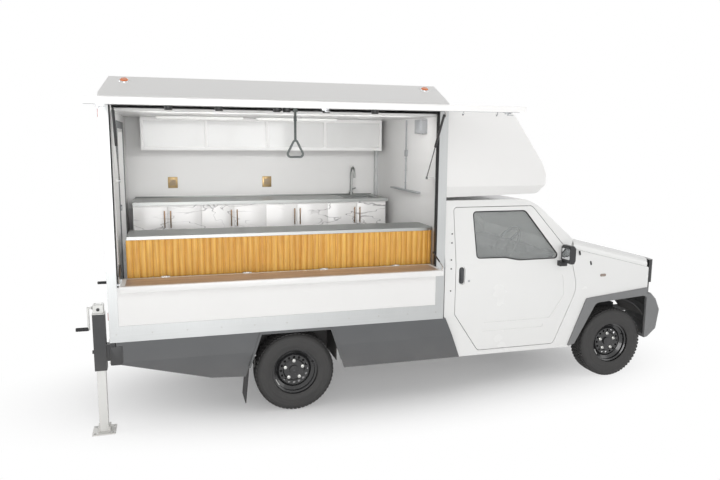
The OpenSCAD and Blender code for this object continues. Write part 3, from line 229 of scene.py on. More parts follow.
# ---------- Aluminium frame and steel worktops ----------
# Extruded posts and sill, brushed along their length, and brushed stainless worktops.
def brushed(slots, name, color, rough, split_z=None):
    """Brushed metal whose scratches run along x, and up the posts above split_z."""
    material, nodes, links, shader = new_material(name)
    shader.inputs["Metallic"].default_value = 1.0
    place = add_node(nodes, "ShaderNodeTexCoord")
    streaks = []
    for scale in ((2.0, 260.0, 260.0), (260.0, 260.0, 2.0)):
        lay = add_node(nodes, "ShaderNodeMapping", {"Scale": scale})
        wire(links, (place, "Object", lay, "Vector"))
        hair = add_node(nodes, "ShaderNodeTexNoise", {"Scale": 1.0, "Detail": 4})
        wire(links, (lay, "Vector", hair, "Vector"))
        streaks.append(hair)
    pick = add_node(nodes, "ShaderNodeMixRGB")
    wire(links, (streaks[0], "Fac", pick, 1), (streaks[1], "Fac", pick, 2))
    if split_z is None:
        pick.inputs[0].default_value = 0.0
    else:
        height = add_node(nodes, "ShaderNodeSeparateXYZ")
        wire(links, (place, "Object", height, 0))
        above = add_node(nodes, "ShaderNodeMath", {1: split_z}, operation="GREATER_THAN")
        wire(links, (height, "Z", above, 0), (above, 0, pick, 0))
    broad = add_node(nodes, "ShaderNodeTexNoise", {"Scale": 4.0})
    wire(links, (place, "Object", broad, "Vector"))
    tone = add_node(nodes, "ShaderNodeMixRGB",
                    {1: (*[c * 0.86 for c in color], 1), 2: (*[min(1, c * 1.1) for c in color], 1)})
    mixed = add_node(nodes, "ShaderNodeMath", {1: 0.6}, operation="MULTIPLY_ADD")
    wire(links, (pick, 0, mixed, 0))
    half = add_node(nodes, "ShaderNodeMath", {1: 0.4}, operation="MULTIPLY")
    wire(links, (broad, "Fac", half, 0), (half, 0, mixed, 2), (mixed, 0, tone, 0),
         (tone, 0, shader, "Base Color"))
    gloss = add_node(nodes, "ShaderNodeMapRange", {"To Min": rough - 0.08, "To Max": rough + 0.1})
    wire(links, (mixed, 0, gloss, "Value"), (gloss, "Result", shader, "Roughness"))
    relief = add_node(nodes, "ShaderNodeBump", {"Strength": 0.06, "Distance": 0.001})
    wire(links, (pick, 0, relief, "Height"), (relief, "Normal", shader, "Normal"))
    for node in slots:
        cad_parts[node].data.materials.clear()
        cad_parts[node].data.materials.append(material)
    return material


post_metal = brushed(["box_frame"], "brushed_aluminium", (0.50, 0.51, 0.51), 0.40, split_z=0.80)
top_metal = brushed(["front_counter", "back_worktop"], "brushed_stainless", (0.42, 0.43, 0.42), 0.38)

# ---------- Chassis and underbody ----------
# Black-painted ladder frame, axle and springs with stone chips and road film.
underbody_paint = finish(["ladder_frame", "rear_axle", "front_suspension", "right_knuckle", "left_knuckle",
                          "rear_bumper", "jack_tubes"], "chassis_black_paint", (0.035, 0.036, 0.038),
                         0.45, mottle=(7.0, 0.25), grain=(350.0, 0.15), film=(0.7, road_dust, 0.35),
                         worn=((0.16, 0.15, 0.14), 0.5))
finish(["engine_block"], "cast_engine", (0.22, 0.22, 0.23), 0.5, metal=0.7, mottle=(14.0, 0.2),
       grain=(600.0, 0.4), worn=((0.4, 0.4, 0.4), 0.4))
finish(["exhaust"], "exhaust_steel", (0.33, 0.31, 0.29), 0.42, metal=0.9, mottle=(11.0, 0.35),
       grain=(300.0, 0.15), film=(0.6, (0.25, 0.15, 0.09), 0.6))
finish(["fuel_tank", "wheel_liners"], "black_moulded_plastic", (0.022, 0.022, 0.023), 0.6,
       mottle=(6.0, 0.2), grain=(900.0, 0.35), film=(0.8, road_dust, 0.4))
finish(["hatch_strut_tubes", "shelf_stay_tubes"], "strut_black_paint", (0.03, 0.03, 0.032), 0.3,
       coat=0.3, mottle=(12.0, 0.2), grain=(500.0, 0.05))
finish(["hatch_strut_rods", "shelf_stay_rods"], "strut_rod_steel", (0.40, 0.41, 0.42), 0.2,
       metal=1.0,
       mottle=(20.0, 0.1), grain=(700.0, 0.04), smears=0.05)

# ---------- Lower trim ----------
# Moulded grey bumper and arch flares with a fine grain, and darker folded side skirts.
finish(["front_trim"], "grained_grey_plastic", (0.20, 0.202, 0.205), 0.55, mottle=(5.0, 0.08),
       grain=(1400.0, 0.3), film=(0.6, road_dust, 0.25), worn=((0.25, 0.25, 0.25), 0.25))
finish(["side_skirts"], "skirt_grey_paint", (0.090, 0.093, 0.097), 0.42, coat=0.2,
       mottle=(3.0, 0.1),
       grain=(700.0, 0.12), film=(0.65, road_dust, 0.3), worn=((0.22, 0.22, 0.22), 0.3))
finish(["grille_panel"], "grille_black_plastic", (0.02, 0.02, 0.021), 0.3, coat=0.4,
       mottle=(6.0, 0.1),
       grain=(900.0, 0.08))
finish(["right_mirror", "left_mirror"], "mirror_black_plastic", (0.028, 0.028, 0.03), 0.45,
       mottle=(9.0, 0.15), grain=(1500.0, 0.25))

# ---------- Glass ----------
# Laminated screen and tempered door glass with a faint green tint, cabinet panes clear.
def glass(slots, name, color, alpha):
    """Clear glass that reflects at its face and lets the rest through, with faint wiping marks."""
    material, nodes, links, shader = new_material(name)
    shader.inputs["Base Color"].default_value = (*color, 1)
    shader.inputs["Alpha"].default_value = alpha
    shader.inputs["IOR"].default_value = 1.5
    shader.inputs["Specular IOR Level"].default_value = 0.8
    place = add_node(nodes, "ShaderNodeTexCoord")
    wiped = add_node(nodes, "ShaderNodeTexNoise", {"Scale": 3.0, "Distortion": 2.0})
    wire(links, (place, "Object", wiped, "Vector"))
    gloss = add_node(nodes, "ShaderNodeMapRange", {"To Min": 0.02, "To Max": 0.09})
    wire(links, (wiped, "Fac", gloss, "Value"), (gloss, "Result", shader, "Roughness"))
    material.surface_render_method = "BLENDED"
    for node in slots:
        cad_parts[node].data.materials.clear()
        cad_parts[node].data.materials.append(material)
    return material


glass(["windscreen", "right_door_glass", "left_door_glass"], "tinted_glass",
      (0.72, 0.75, 0.74), 0.22)
glass(["cabinet_glass"], "cabinet_clear_glass", (0.96, 0.96, 0.95), 0.62)

# ---------- Cab interior ----------
# Grained dark dashboard and a moulded steering wheel.
dash_plastic = finish(["dashboard", "steering_wheel"], "dash_soft_plastic", (0.045, 0.046, 0.048), 0.55,
                      mottle=(8.0, 0.1), grain=(1100.0, 0.35))
finish(["cab_seats"], "seat_cloth", (0.07, 0.072, 0.076), 0.85, mottle=(30.0, 0.2),
       grain=(1800.0, 0.5))

# ---------- Kitchen ----------
# Grey vinyl floor, orange slatted counter front, marble-pattern laminate doors.
finish(["box_floor"], "floor_vinyl", (0.30, 0.31, 0.32), 0.5, mottle=(40.0, 0.15),
       grain=(900.0, 0.2))
slat_timber = finish(["slat_panel"], "slat_backing", (0.55, 0.27, 0.06), 0.5, mottle=(8.0, 0.1),
                     grain=(200.0, 0.1))
strap_plastic = finish(["grab_handle"], "strap_grey", (0.11, 0.125, 0.12), 0.5, mottle=(20.0, 0.1),
                       grain=(900.0, 0.15))
finish(["right_front_tyre", "left_front_tyre", "right_rear_tyre", "left_rear_tyre"],
       "tyre_rubber", (0.035, 0.035, 0.036), 0.72, mottle=(12.0, 0.15), grain=(800.0, 0.2))
finish(["right_front_rim", "left_front_rim", "right_rear_rim", "left_rear_rim"],
       "rim_black_enamel", (0.016, 0.016, 0.017), 0.22, coat=0.5, mottle=(10.0, 0.2), grain=(500.0, 0.06))
finish(["back_cabinets"], "marble_laminate", (0.80, 0.79, 0.78), 0.3, coat=0.3)

# ---------- Slatted counter front ----------
# Half-round timber battens with an orange stain, glued side by side to a thin
# board that runs along the front counter and round its free corner.
def add_blocks(bm, *corners):
    """Boxes between pairs of opposite corners, in millimetres."""
    for low, high in corners:
        size = [h - l for l, h in zip(low, high)]
        middle = [(l + h) / 2 for l, h in zip(low, high)]
        bmesh.ops.create_cube(bm, size=1.0, matrix=Matrix.Translation(middle) @ Matrix.Diagonal((*size, 1)))


def add_rod(bm, start, end, radius, end_radius=None, sides=20):
    """A round bar or cone between two places, in millimetres."""
    start, end = Vector(start), Vector(end)
    turn = (end - start).to_track_quat("Z", "Y").to_matrix().to_4x4()
    bmesh.ops.create_cone(bm, cap_ends=True, segments=sides, radius1=radius,
                          radius2=radius if end_radius is None else end_radius,
                          depth=(end - start).length, matrix=Matrix.Translation((start + end) / 2) @ turn)


def add_plate(bm, outline, axis, near, far):
    """A flat plate with the outline given in the plane across the axis ("x", "y" or "z")."""
    def spot(a, b, d):
        return {"x": (d, a, b), "y": (a, d, b), "z": (a, b, d)}[axis]
    rings = [[bm.verts.new(spot(a, b, d)) for a, b in outline] for d in (near, far)]
    faces = [bm.faces.new(rings[0]), bm.faces.new(rings[1])]
    for i in range(len(outline)):
        j = (i + 1) % len(outline)
        faces.append(bm.faces.new((rings[0][i], rings[0][j], rings[1][j], rings[1][i])))
    bmesh.ops.recalc_face_normals(bm, faces=faces)


def add_sweep(bm, path, section, closed=False):
    """A section of (across, up) offsets carried along a path, mitred at its bends."""
    path = [Vector(p) for p in path]
    count, rings = len(path), []
    for i, p in enumerate(path):
        before = path[i - 1] if i or closed else None
        after = path[(i + 1) % count] if i < count - 1 or closed else None
        into = (p - before).normalized() if before is not None else (after - p).normalized()
        out = (after - p).normalized() if after is not None else into
        along = (into + out).normalized()
        if i == 0:
            up = Vector((0, 0, 1)) if abs(along.z) < 0.9 else Vector((1, 0, 0))
        across = along.cross(up).normalized()
        up = across.cross(along).normalized()
        widen = 1 / max(0.4, along.dot(out))
        lift = widen if abs(into.z - out.z) > 1e-3 else 1
        rings.append([bm.verts.new(p + across * a * widen + up * b * lift) for a, b in section])
    faces, n = [], len(section)
    for i in range(count if closed else count - 1):
        a, b = rings[i], rings[(i + 1) % count]
        faces += [bm.faces.new((a[k], a[(k + 1) % n], b[(k + 1) % n], b[k])) for k in range(n)]
    if not closed:
        faces += [bm.faces.new(rings[0]), bm.faces.new(rings[-1])]
    bmesh.ops.recalc_face_normals(bm, faces=faces)


def circle_section(radius, sides=10):
    return [(radius * math.cos(2 * math.pi * i / sides),
             radius * math.sin(2 * math.pi * i / sides)) for i in range(sides)]


def made(name, bm, material, body, rounding=0.8, place=to_metres, shade=35):
    """Rounds the sharp edges and sets the piece on its body."""
    bm.normal_update()
    if rounding:
        sharp = [e for e in bm.edges if len(e.link_faces) == 2 and e.calc_face_angle(0) > math.radians(40)]
        bmesh.ops.bevel(bm, geom=sharp, offset=rounding, segments=2, profile=0.5, affect="EDGES",
                        clamp_overlap=True)
    bmesh.ops.transform(bm, matrix=place, verts=bm.verts)
    mesh = bpy.data.meshes.new(name)
    bm.to_mesh(mesh)
    bm.free()
    for face in mesh.polygons:
        face.use_smooth = True
    mesh.set_sharp_from_angle(angle=math.radians(shade))
    mesh.materials.append(material)
    thing = bpy.data.objects.new(name, mesh)
    bpy.context.scene.collection.objects.link(thing)
    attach(thing, body)
    return thing


def node_tree(name, sizes):
    """A geometry tree with named number inputs; gives the tree and its group input."""
    tree = bpy.data.node_groups.new(name, "GeometryNodeTree")
    tree.interface.new_socket("Geometry", in_out="INPUT", socket_type="NodeSocketGeometry")
    for size in sizes:
        kind = {"Count": "Int", "Sides": "Int", "Turn": "Vector", "Size": "Vector"}.get(size, "Float")
        tree.interface.new_socket(size, in_out="INPUT", socket_type="NodeSocket" + kind)
    tree.interface.new_socket("Material", in_out="INPUT", socket_type="NodeSocketMaterial")
    tree.interface.new_socket("Geometry", in_out="OUTPUT", socket_type="NodeSocketGeometry")
    return tree, tree.nodes.new("NodeGroupInput")


def close_tree(tree, entry, geometry):
    """Ends a tree in Realize Instances and Set Material."""
    real = add_node(tree.nodes, "GeometryNodeRealizeInstances")
    coat = add_node(tree.nodes, "GeometryNodeSetMaterial")
    leave = add_node(tree.nodes, "NodeGroupOutput")
    tree.links.new(geometry, real.inputs["Geometry"])
    wire(tree.links, (real, "Geometry", coat, "Geometry"), (entry, "Material", coat, "Material"),
         (coat, "Geometry", leave, "Geometry"))


def grown_piece(name, points, edges, tree, values, material, body):
    """Runs a tree on a set of places and keeps its result as a plain mesh on the body."""
    seed = bpy.data.meshes.new(name + "_seed")
    seed.from_pydata([to_metres @ Vector(p) for p in points], edges, [])
    thing = bpy.data.objects.new(name, seed)
    bpy.context.scene.collection.objects.link(thing)
    modifier = thing.modifiers.new("grow", "NODES")
    modifier.node_group = tree
    for socket in tree.interface.items_tree:
        if socket.in_out == "INPUT" and socket.name in values:
            modifier[socket.identifier] = values[socket.name]
        elif socket.in_out == "INPUT" and socket.name == "Material":
            modifier[socket.identifier] = material
    graph = bpy.context.evaluated_depsgraph_get()
    mesh = bpy.data.meshes.new_from_object(thing.evaluated_get(graph), depsgraph=graph)
    thing.modifiers.clear()
    thing.data = mesh
    for face in mesh.polygons:
        face.use_smooth = True
    mesh.set_sharp_from_angle(angle=math.radians(35))
    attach(thing, body)
    return thing


stain, nodes, links, shader = new_material("stained_batten")
place = add_node(nodes, "ShaderNodeTexCoord")
fibres = add_node(nodes, "ShaderNodeMapping", {"Scale": (60, 60, 2.5)})
figure = add_node(nodes, "ShaderNodeTexNoise", {"Scale": 1.0, "Detail": 6, "Distortion": 0.6})
board = add_node(nodes, "ShaderNodeTexNoise", {"Scale": 9.0})
ramp = add_node(nodes, "ShaderNodeValToRGB")
ramp.color_ramp.elements[0].position = 0.3
ramp.color_ramp.elements[0].color = (0.70, 0.32, 0.045, 1)
ramp.color_ramp.elements[1].position = 0.75
ramp.color_ramp.elements[1].color = (0.99, 0.60, 0.13, 1)
vary = add_node(nodes, "ShaderNodeMixRGB", {0: 0.22}, blend_type="MULTIPLY")
relief = add_node(nodes, "ShaderNodeBump", {"Strength": 0.2, "Distance": 0.001})
wire(links, (place, "Object", fibres, "Vector"), (fibres, "Vector", figure, "Vector"),
     (place, "Object", board, "Vector"), (figure, "Fac", ramp, "Fac"), (ramp, "Color", vary, 1),
     (board, "Fac", vary, 2), (vary, 0, shader, "Base Color"), (figure, "Fac", relief, "Height"),
     (relief, "Normal", shader, "Normal"))
shader.inputs["Roughness"].default_value = 0.42

batten_tree, entry = node_tree("battens_along_a_line", ["Pitch", "Size"])
line = add_node(batten_tree.nodes, "GeometryNodeMeshToCurve")
spaced = add_node(batten_tree.nodes, "GeometryNodeResampleCurve")
if "Mode" in spaced.inputs:
    spaced.inputs["Mode"].default_value = "Length"
else:
    spaced.mode = "LENGTH"
stick = add_node(batten_tree.nodes, "GeometryNodeMeshCylinder", {"Vertices": 20, "Radius": 0.5, "Depth": 1.0})
lay = add_node(batten_tree.nodes, "GeometryNodeInstanceOnPoints")
along = add_node(batten_tree.nodes, "GeometryNodeInputTangent")
aim = add_node(batten_tree.nodes, "FunctionNodeAlignEulerToVector")
aim.axis, aim.pivot_axis = "X", "Z"
wire(batten_tree.links, (entry, "Geometry", line, "Mesh"), (line, "Curve", spaced, "Curve"),
     (entry, "Pitch", spaced, "Length"), (spaced, "Curve", lay, "Points"), (stick, "Mesh", lay, "Instance"),
     (along, "Tangent", aim, "Vector"), (aim, "Rotation", lay, "Rotation"), (entry, "Size", lay, "Scale"))
close_tree(batten_tree, entry, lay.outputs["Instances"])

slat_low, slat_high = (to_metres.inverted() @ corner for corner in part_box("slat_panel"))
corner_r = 60.0
batten_w, batten_d, batten_pitch = 46.0, 16.0, 48.5


def counter_line(inset):
    """Plan of the counter front: straight, then round the corner."""
    r = corner_r - inset
    cx, cy = slat_high.x - corner_r, slat_low.y + corner_r
    return [(slat_low.x + 14, slat_low.y + inset)] + [
        (cx + r * math.sin(a), cy - r * math.cos(a)) for a in (math.pi / 2 * i / 12 for i in range(13))]


middle_z = (slat_low.z + slat_high.z) / 2
seed_line = [(x, y, middle_z) for x, y in counter_line(batten_d / 2)]
seed_edges = [(i, i + 1) for i in range(len(seed_line) - 1)]
sizes = {"Pitch": batten_pitch / 1000,
         "Size": (batten_w / 1000, batten_d / 1000, (slat_high.z - slat_low.z - 4) / 1000)}
grown_piece("counter_battens", seed_line, seed_edges, batten_tree, sizes, stain, "chassis")
bm = bmesh.new()
outer, inner = counter_line(batten_d / 2 - 1), counter_line(17)
add_plate(bm, [(slat_low.x, outer[0][1])] + outer + inner[::-1] + [(slat_low.x, inner[0][1])], "z",
          slat_low.z, slat_high.z)
backing = made("counter_front_board", bm, slat_timber, "chassis", rounding=0.4)
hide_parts("slat_panel")

# ---------- Back counter doors ----------
# Eight laminate doors with a white marble print, hung under the worktop, and
# slim bronze-coloured bar pulls in pairs at every second joint.
doors_marble, nodes, links, shader = new_material("marble_print")
place = add_node(nodes, "ShaderNodeTexCoord")
slant = add_node(nodes, "ShaderNodeMapping", {"Rotation": (0.3, 0.75, 0.2), "Scale": (0.55, 1, 1.5)})
warp = add_node(nodes, "ShaderNodeTexNoise", {"Scale": 3.0, "Detail": 4})
bent = add_node(nodes, "ShaderNodeMixRGB", {0: 0.16}, blend_type="LINEAR_LIGHT")
veins = add_node(nodes, "ShaderNodeTexNoise", {"Scale": 5.5, "Detail": 1.5, "Distortion": 0.8})
centred = add_node(nodes, "ShaderNodeMath", {1: 0.5}, operation="SUBTRACT")
ridge = add_node(nodes, "ShaderNodeMath", operation="ABSOLUTE")
thin = add_node(nodes, "ShaderNodeValToRGB")
thin.color_ramp.elements[0].position = 0.0
thin.color_ramp.elements[0].color = (0.30, 0.29, 0.29, 1)
thin.color_ramp.elements[1].position = 0.016
thin.color_ramp.elements[1].color = (0.84, 0.83, 0.82, 1)
haze = add_node(nodes, "ShaderNodeTexNoise", {"Scale": 2.2, "Detail": 3})
fading = add_node(nodes, "ShaderNodeMapRange", {"From Min": 0.40, "From Max": 0.55})
clouded = add_node(nodes, "ShaderNodeMixRGB", {1: (0.86, 0.85, 0.84, 1)})
wire(links, (place, "Object", slant, "Vector"), (slant, "Vector", warp, "Vector"), (slant, "Vector", bent, 1),
     (warp, "Color", bent, 2), (bent, 0, veins, "Vector"), (veins, "Fac", centred, 0), (centred, 0, ridge, 0),
     (ridge, 0, thin, "Fac"), (slant, "Vector", haze, "Vector"), (haze, "Fac", fading, "Value"),
     (fading, "Result", clouded, 0), (thin, "Color", clouded, 2), (clouded, 0, shader, "Base Color"))
relief = add_node(nodes, "ShaderNodeBump", {"Strength": 0.03, "Distance": 0.001})
wire(links, (warp, "Fac", relief, "Height"), (relief, "Normal", shader, "Normal"))
shader.inputs["Roughness"].default_value = 0.24
shader.inputs["Coat Weight"].default_value = 0.3
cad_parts["back_cabinets"].data.materials[0] = doors_marble

cab_low, cab_high = (to_metres.inverted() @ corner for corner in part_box("back_cabinets"))
door_count, door_gap = 8, 3.0
pitch = (cab_high.x - cab_low.x) / door_count
bm, pulls = bmesh.new(), bmesh.new()
for i in range(door_count):
    left, right = cab_low.x + i * pitch + door_gap / 2, cab_low.x + (i + 1) * pitch - door_gap / 2
    add_blocks(bm, ((left, cab_low.y - 11.5, cab_low.z + 92), (right, cab_low.y - 0.5, cab_high.z - 12)))
    pull_x = right - 26 if i % 2 == 0 else left + 26
    add_rod(pulls, (pull_x, cab_low.y - 33, cab_high.z - 210), (pull_x, cab_low.y - 33, cab_high.z - 50), 5.5)
    for z in (cab_high.z - 190, cab_high.z - 70):
        add_rod(pulls, (pull_x, cab_low.y - 33, z), (pull_x, cab_low.y - 11.4, z), 4, 5.5)
made("back_counter_doors", bm, doors_marble, "chassis", rounding=1.0)
bronze = finish([], "bronze_anodised", (0.34, 0.22, 0.13), 0.3, metal=0.9, mottle=(30.0, 0.1),
                grain=(900.0, 0.05))
made("back_counter_pulls", pulls, bronze, "chassis", rounding=0.8)

# ---------- Kitchen walls and fittings ----------
# Two brass-plated sockets, a grey fuse box, switch and conduit, a thin service
# ledge, ceiling light strips, the bright rim and drain of the sink and an upstand on the worktop.
brass = finish([], "brass_plate", (0.42, 0.30, 0.15), 0.32, metal=0.85, mottle=(25.0, 0.12),
               grain=(700.0, 0.06))
socket_tan = finish([], "socket_tan", (0.36, 0.27, 0.17), 0.45, mottle=(40.0, 0.12), grain=(900.0, 0.1))
switch_grey = finish([], "fitting_grey", (0.36, 0.37, 0.38), 0.42, mottle=(9.0, 0.04), grain=(900.0, 0.12))
black_rubber = finish([], "black_rubber_seal", (0.018, 0.018, 0.019), 0.62, mottle=(15.0, 0.15),
                      grain=(1200.0, 0.25))
inner_y = cab_high.y
bm, dark = bmesh.new(), bmesh.new()
for x in (-914, 35):
    add_blocks(bm, ((x - 47, inner_y - 10, 1755), (x + 47, inner_y - 0.5, 1866)))
    add_blocks(dark, ((x - 30, inner_y - 12.5, 1780), (x + 30, inner_y - 9, 1841)))
    for dx in (-12, 12):
        add_rod(bm, (x + dx, inner_y - 14, 1811), (x + dx, inner_y - 10, 1811), 4)
made("socket_plates", bm, brass, "chassis", rounding=1.5)
made("socket_inserts", dark, socket_tan, "chassis", rounding=0.8)
front_x = 1252.0
bm = bmesh.new()
add_blocks(bm, ((front_x - 62, -560, 2310), (front_x - 0.5, -400, 2434)),
           ((front_x - 66, -548, 2322), (front_x - 61, -412, 2422)),
           ((front_x - 16, -82, 2098), (front_x - 0.5, -20, 2160)),
           ((front_x - 20, -62, 2115), (front_x - 15, -40, 2143)),
           ((front_x - 44, -430, 1772), (front_x - 0.5, 300, 1784)))
add_rod(bm, (front_x - 9, -51, 1785), (front_x - 9, -51, 2100), 8)
for z in (1840, 1960, 2070):
    add_blocks(bm, ((front_x - 19, -63, z), (front_x - 0.5, -39, z + 10)))
add_rod(bm, (front_x - 9, -51, 2158), (front_x - 9, -51, 2440), 8)
made("wall_fittings", bm, switch_grey, "chassis", rounding=1.5)
lamp_diffuser = finish([], "lamp_diffuser", (0.86, 0.86, 0.84), 0.5, mottle=(4.0, 0.02), grain=(500.0, 0.05))
bm = bmesh.new()
for x0 in (-1050, -150):
    add_blocks(bm, ((x0, 228, 2432), (x0 + 780, 292, 2449.5)), ((x0 + 12, 236, 2424), (x0 + 768, 284, 2433)))
made("ceiling_lamps", bm, lamp_diffuser, "chassis", rounding=4)
chrome = finish([], "tap_chrome", (0.62, 0.63, 0.64), 0.10, metal=1.0, mottle=(9.0, 0.04),
                grain=(600.0, 0.01), smears=0.04)
sink = ((762, cab_low.y + 75), (1122, cab_low.y + 405))
bm = bmesh.new()
ring = [(sink[0][0] - 6, sink[0][1] - 6), (sink[1][0] + 6, sink[0][1] - 6), (sink[1][0] + 6, sink[1][1] + 6),
        (sink[0][0] - 6, sink[1][1] + 6)]
add_sweep(bm, [(x, y, 1661.5) for x, y in ring], circle_section(4, 8), closed=True)
add_rod(bm, (942, (sink[0][1] + sink[1][1]) / 2, 1493.5), (942, (sink[0][1] + sink[1][1]) / 2, 1498), 42, 38)
add_rod(bm, (942, (sink[0][1] + sink[1][1]) / 2, 1497), (942, (sink[0][1] + sink[1][1]) / 2, 1500), 14, 12)
made("sink_rim_and_drain", bm, chrome, "chassis", rounding=0)
bm = bmesh.new()
add_blocks(bm, ((cab_low.x + 6, inner_y - 9, 1660.3), (cab_high.x, inner_y - 0.5, 1672)))
made("worktop_upstand", bm, top_metal, "chassis", rounding=1.0)

# ---------- Serving shelf ----------
# Folding shelf with a brown woodgrain board let into its white frame.
wood_board, nodes, links, shader = new_material("shelf_woodgrain")
place = add_node(nodes, "ShaderNodeTexCoord")
fibres = add_node(nodes, "ShaderNodeMapping", {"Scale": (1.6, 90, 90)})
figure = add_node(nodes, "ShaderNodeTexNoise", {"Scale": 1.0, "Detail": 7})
ramp = add_node(nodes, "ShaderNodeValToRGB")
ramp.color_ramp.elements[0].position = 0.32
ramp.color_ramp.elements[0].color = (0.27, 0.17, 0.11, 1)
ramp.color_ramp.elements[1].position = 0.68
ramp.color_ramp.elements[1].color = (0.56, 0.41, 0.30, 1)
relief = add_node(nodes, "ShaderNodeBump", {"Strength": 0.15, "Distance": 0.001})
wire(links, (place, "Object", fibres, "Vector"), (fibres, "Vector", figure, "Vector"),
     (figure, "Fac", ramp, "Fac"), (ramp, "Color", shader, "Base Color"), (figure, "Fac", relief, "Height"),
     (relief, "Normal", shader, "Normal"))
shader.inputs["Roughness"].default_value = 0.38
shelf_low, shelf_high = (to_metres.inverted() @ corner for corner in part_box("serving_shelf"))
shelf_top = 1195.0
bm = bmesh.new()
for i in range(6):
    y0 = shelf_low.y + 33 + i * 39.6
    add_blocks(bm, ((-1290.5, y0, shelf_top - 1.8), (1155.5, y0 + 38.8, shelf_top - 0.2)))
made("shelf_boards", bm, wood_board, "serving_shelf", rounding=0.3)
bm = bmesh.new()
add_blocks(bm, ((-1321, shelf_low.y - 1.2, shelf_top - 43), (1186, shelf_low.y + 0.5, shelf_top + 0.4)))
made("shelf_edge_strip", bm, panel_skin, "serving_shelf", rounding=0.5)

# ---------- Serving opening ----------
# Black rubber seals on the posts, and the hatch's own gasket, spot lamps,
# latches and hooks.
bm = bmesh.new()
for x0, x1 in ((-1360, -1352), (1206, 1214)):
    add_blocks(bm, ((x0 + 0.3, -916, 860), (x1 - 0.3, -896, 2486)),
               ((x0 + 0.3, -893, 1200), (x1 - 0.3, -870, 2486)))
made("opening_seals", bm, black_rubber, "chassis", rounding=1.5)
hatch_slope = 2.8
hatch_place = (to_metres @ Matrix.Translation((0, -945, 2515))
               @ Matrix.Rotation(math.radians(hatch_slope), 4, "X"))
hatch_w, hatch_ends, hatch_half = 1215.0, (-1427.0, 1285.0), 19.0
bm = bmesh.new()
gasket = [(hatch_ends[0] + 34, -58), (hatch_ends[1] - 34, -58), (hatch_ends[1] - 34, 32 - hatch_w),
          (hatch_ends[0] + 34, 32 - hatch_w)]
add_sweep(bm, [(x, y, -hatch_half - 1.5) for x, y in gasket], [(-5, -1), (5, -1), (4, 3), (-4, 3)],
          closed=True)
made("hatch_gasket", bm, switch_grey, "serving_hatch", rounding=0.4, place=hatch_place)
lamp_black = finish([], "spot_lamp_black", (0.02, 0.02, 0.021), 0.35, mottle=(20.0, 0.1), grain=(700.0, 0.1))
bm, lens = bmesh.new(), bmesh.new()
for x in (-950, -640, -270, -205, 60, 400):
    add_rod(bm, (x, -755, -hatch_half + 4.7), (x, -755, -hatch_half - 32), 27, 24, 28)
    add_rod(lens, (x, -755, -hatch_half - 31), (x, -755, -hatch_half - 34), 18, 16, 24)
made("hatch_spot_lamps", bm, lamp_black, "serving_hatch", rounding=1.2, place=hatch_place)
made("hatch_spot_lenses", lens, lamp_diffuser, "serving_hatch", rounding=0.8, place=hatch_place)
bm = bmesh.new()
for x in (hatch_ends[0] + 86, -80, hatch_ends[1] - 150):
    add_blocks(bm, ((x, 8 - hatch_w, -hatch_half - 4), (x + 58, 34 - hatch_w, -hatch_half + 0.5)),
               ((x + 8, 10 - hatch_w, -hatch_half - 13), (x + 50, 22 - hatch_w, -hatch_half - 3)))
    add_rod(bm, (x + 29, 16 - hatch_w, -hatch_half - 12), (x + 29, 16 - hatch_w, -hatch_half - 20), 5)
    add_blocks(bm, ((x + 24, 2 - hatch_w, -hatch_half - 22), (x + 62, 18 - hatch_w, -hatch_half - 18)))
for x in (940, 1190):
    add_sweep(bm, [(x, -1010, -hatch_half + 1), (x, -1010, -hatch_half - 16), (x, -1000, -hatch_half - 26),
                   (x, -988, -hatch_half - 18)], circle_section(3))
latch_steel = finish([], "latch_steel", (0.45, 0.46, 0.47), 0.28, metal=0.95, mottle=(25.0, 0.1),
                     grain=(600.0, 0.06))
made("hatch_latches", bm, latch_steel, "serving_hatch", rounding=0.8, place=hatch_place)

# ---------- Screws and bolts ----------
# Pan-head screws and hexagon bolts, each with its washer, wherever a fitting is fixed.
bolt_tree, entry = node_tree("bolts_on_points", ["Radius", "Height", "Sides", "Turn"])
spots = add_node(bolt_tree.nodes, "GeometryNodeMeshToPoints")
head = add_node(bolt_tree.nodes, "GeometryNodeMeshCylinder")
washer = add_node(bolt_tree.nodes, "GeometryNodeMeshCylinder", {"Vertices": 16})
wide = add_node(bolt_tree.nodes, "ShaderNodeMath", {1: 1.5}, operation="MULTIPLY")
flat = add_node(bolt_tree.nodes, "ShaderNodeMath", {1: 0.5}, operation="MULTIPLY")
lift = add_node(bolt_tree.nodes, "GeometryNodeTransform")
lift_by = add_node(bolt_tree.nodes, "ShaderNodeCombineXYZ")
both = add_node(bolt_tree.nodes, "GeometryNodeJoinGeometry")
lay = add_node(bolt_tree.nodes, "GeometryNodeInstanceOnPoints")
wire(bolt_tree.links, (entry, "Geometry", spots, "Mesh"), (entry, "Sides", head, "Vertices"),
     (entry, "Radius", head, "Radius"), (entry, "Height", head, "Depth"), (entry, "Radius", wide, 0),
     (wide, 0, washer, "Radius"), (entry, "Height", flat, 0), (flat, 0, washer, "Depth"),
     (flat, 0, lift_by, "Z"), (head, "Mesh", lift, "Geometry"), (lift_by, "Vector", lift, "Translation"),
     (lift, "Geometry", both, "Geometry"), (washer, "Mesh", both, "Geometry"),
     (spots, "Points", lay, "Points"), (both, "Geometry", lay, "Instance"), (entry, "Turn", lay, "Rotation"))
close_tree(bolt_tree, entry, lay.outputs["Instances"])
quarter = math.pi / 2
toward = {"-y": (quarter, 0, 0), "+y": (-quarter, 0, 0), "-x": (0, -quarter, 0), "+x": (0, quarter, 0),
          "+z": (0, 0, 0), "-z": (math.pi, 0, 0)}
zinc = finish([], "zinc_fastener", (0.42, 0.42, 0.41), 0.34, metal=0.9, mottle=(40.0, 0.2),
              grain=(900.0, 0.08))


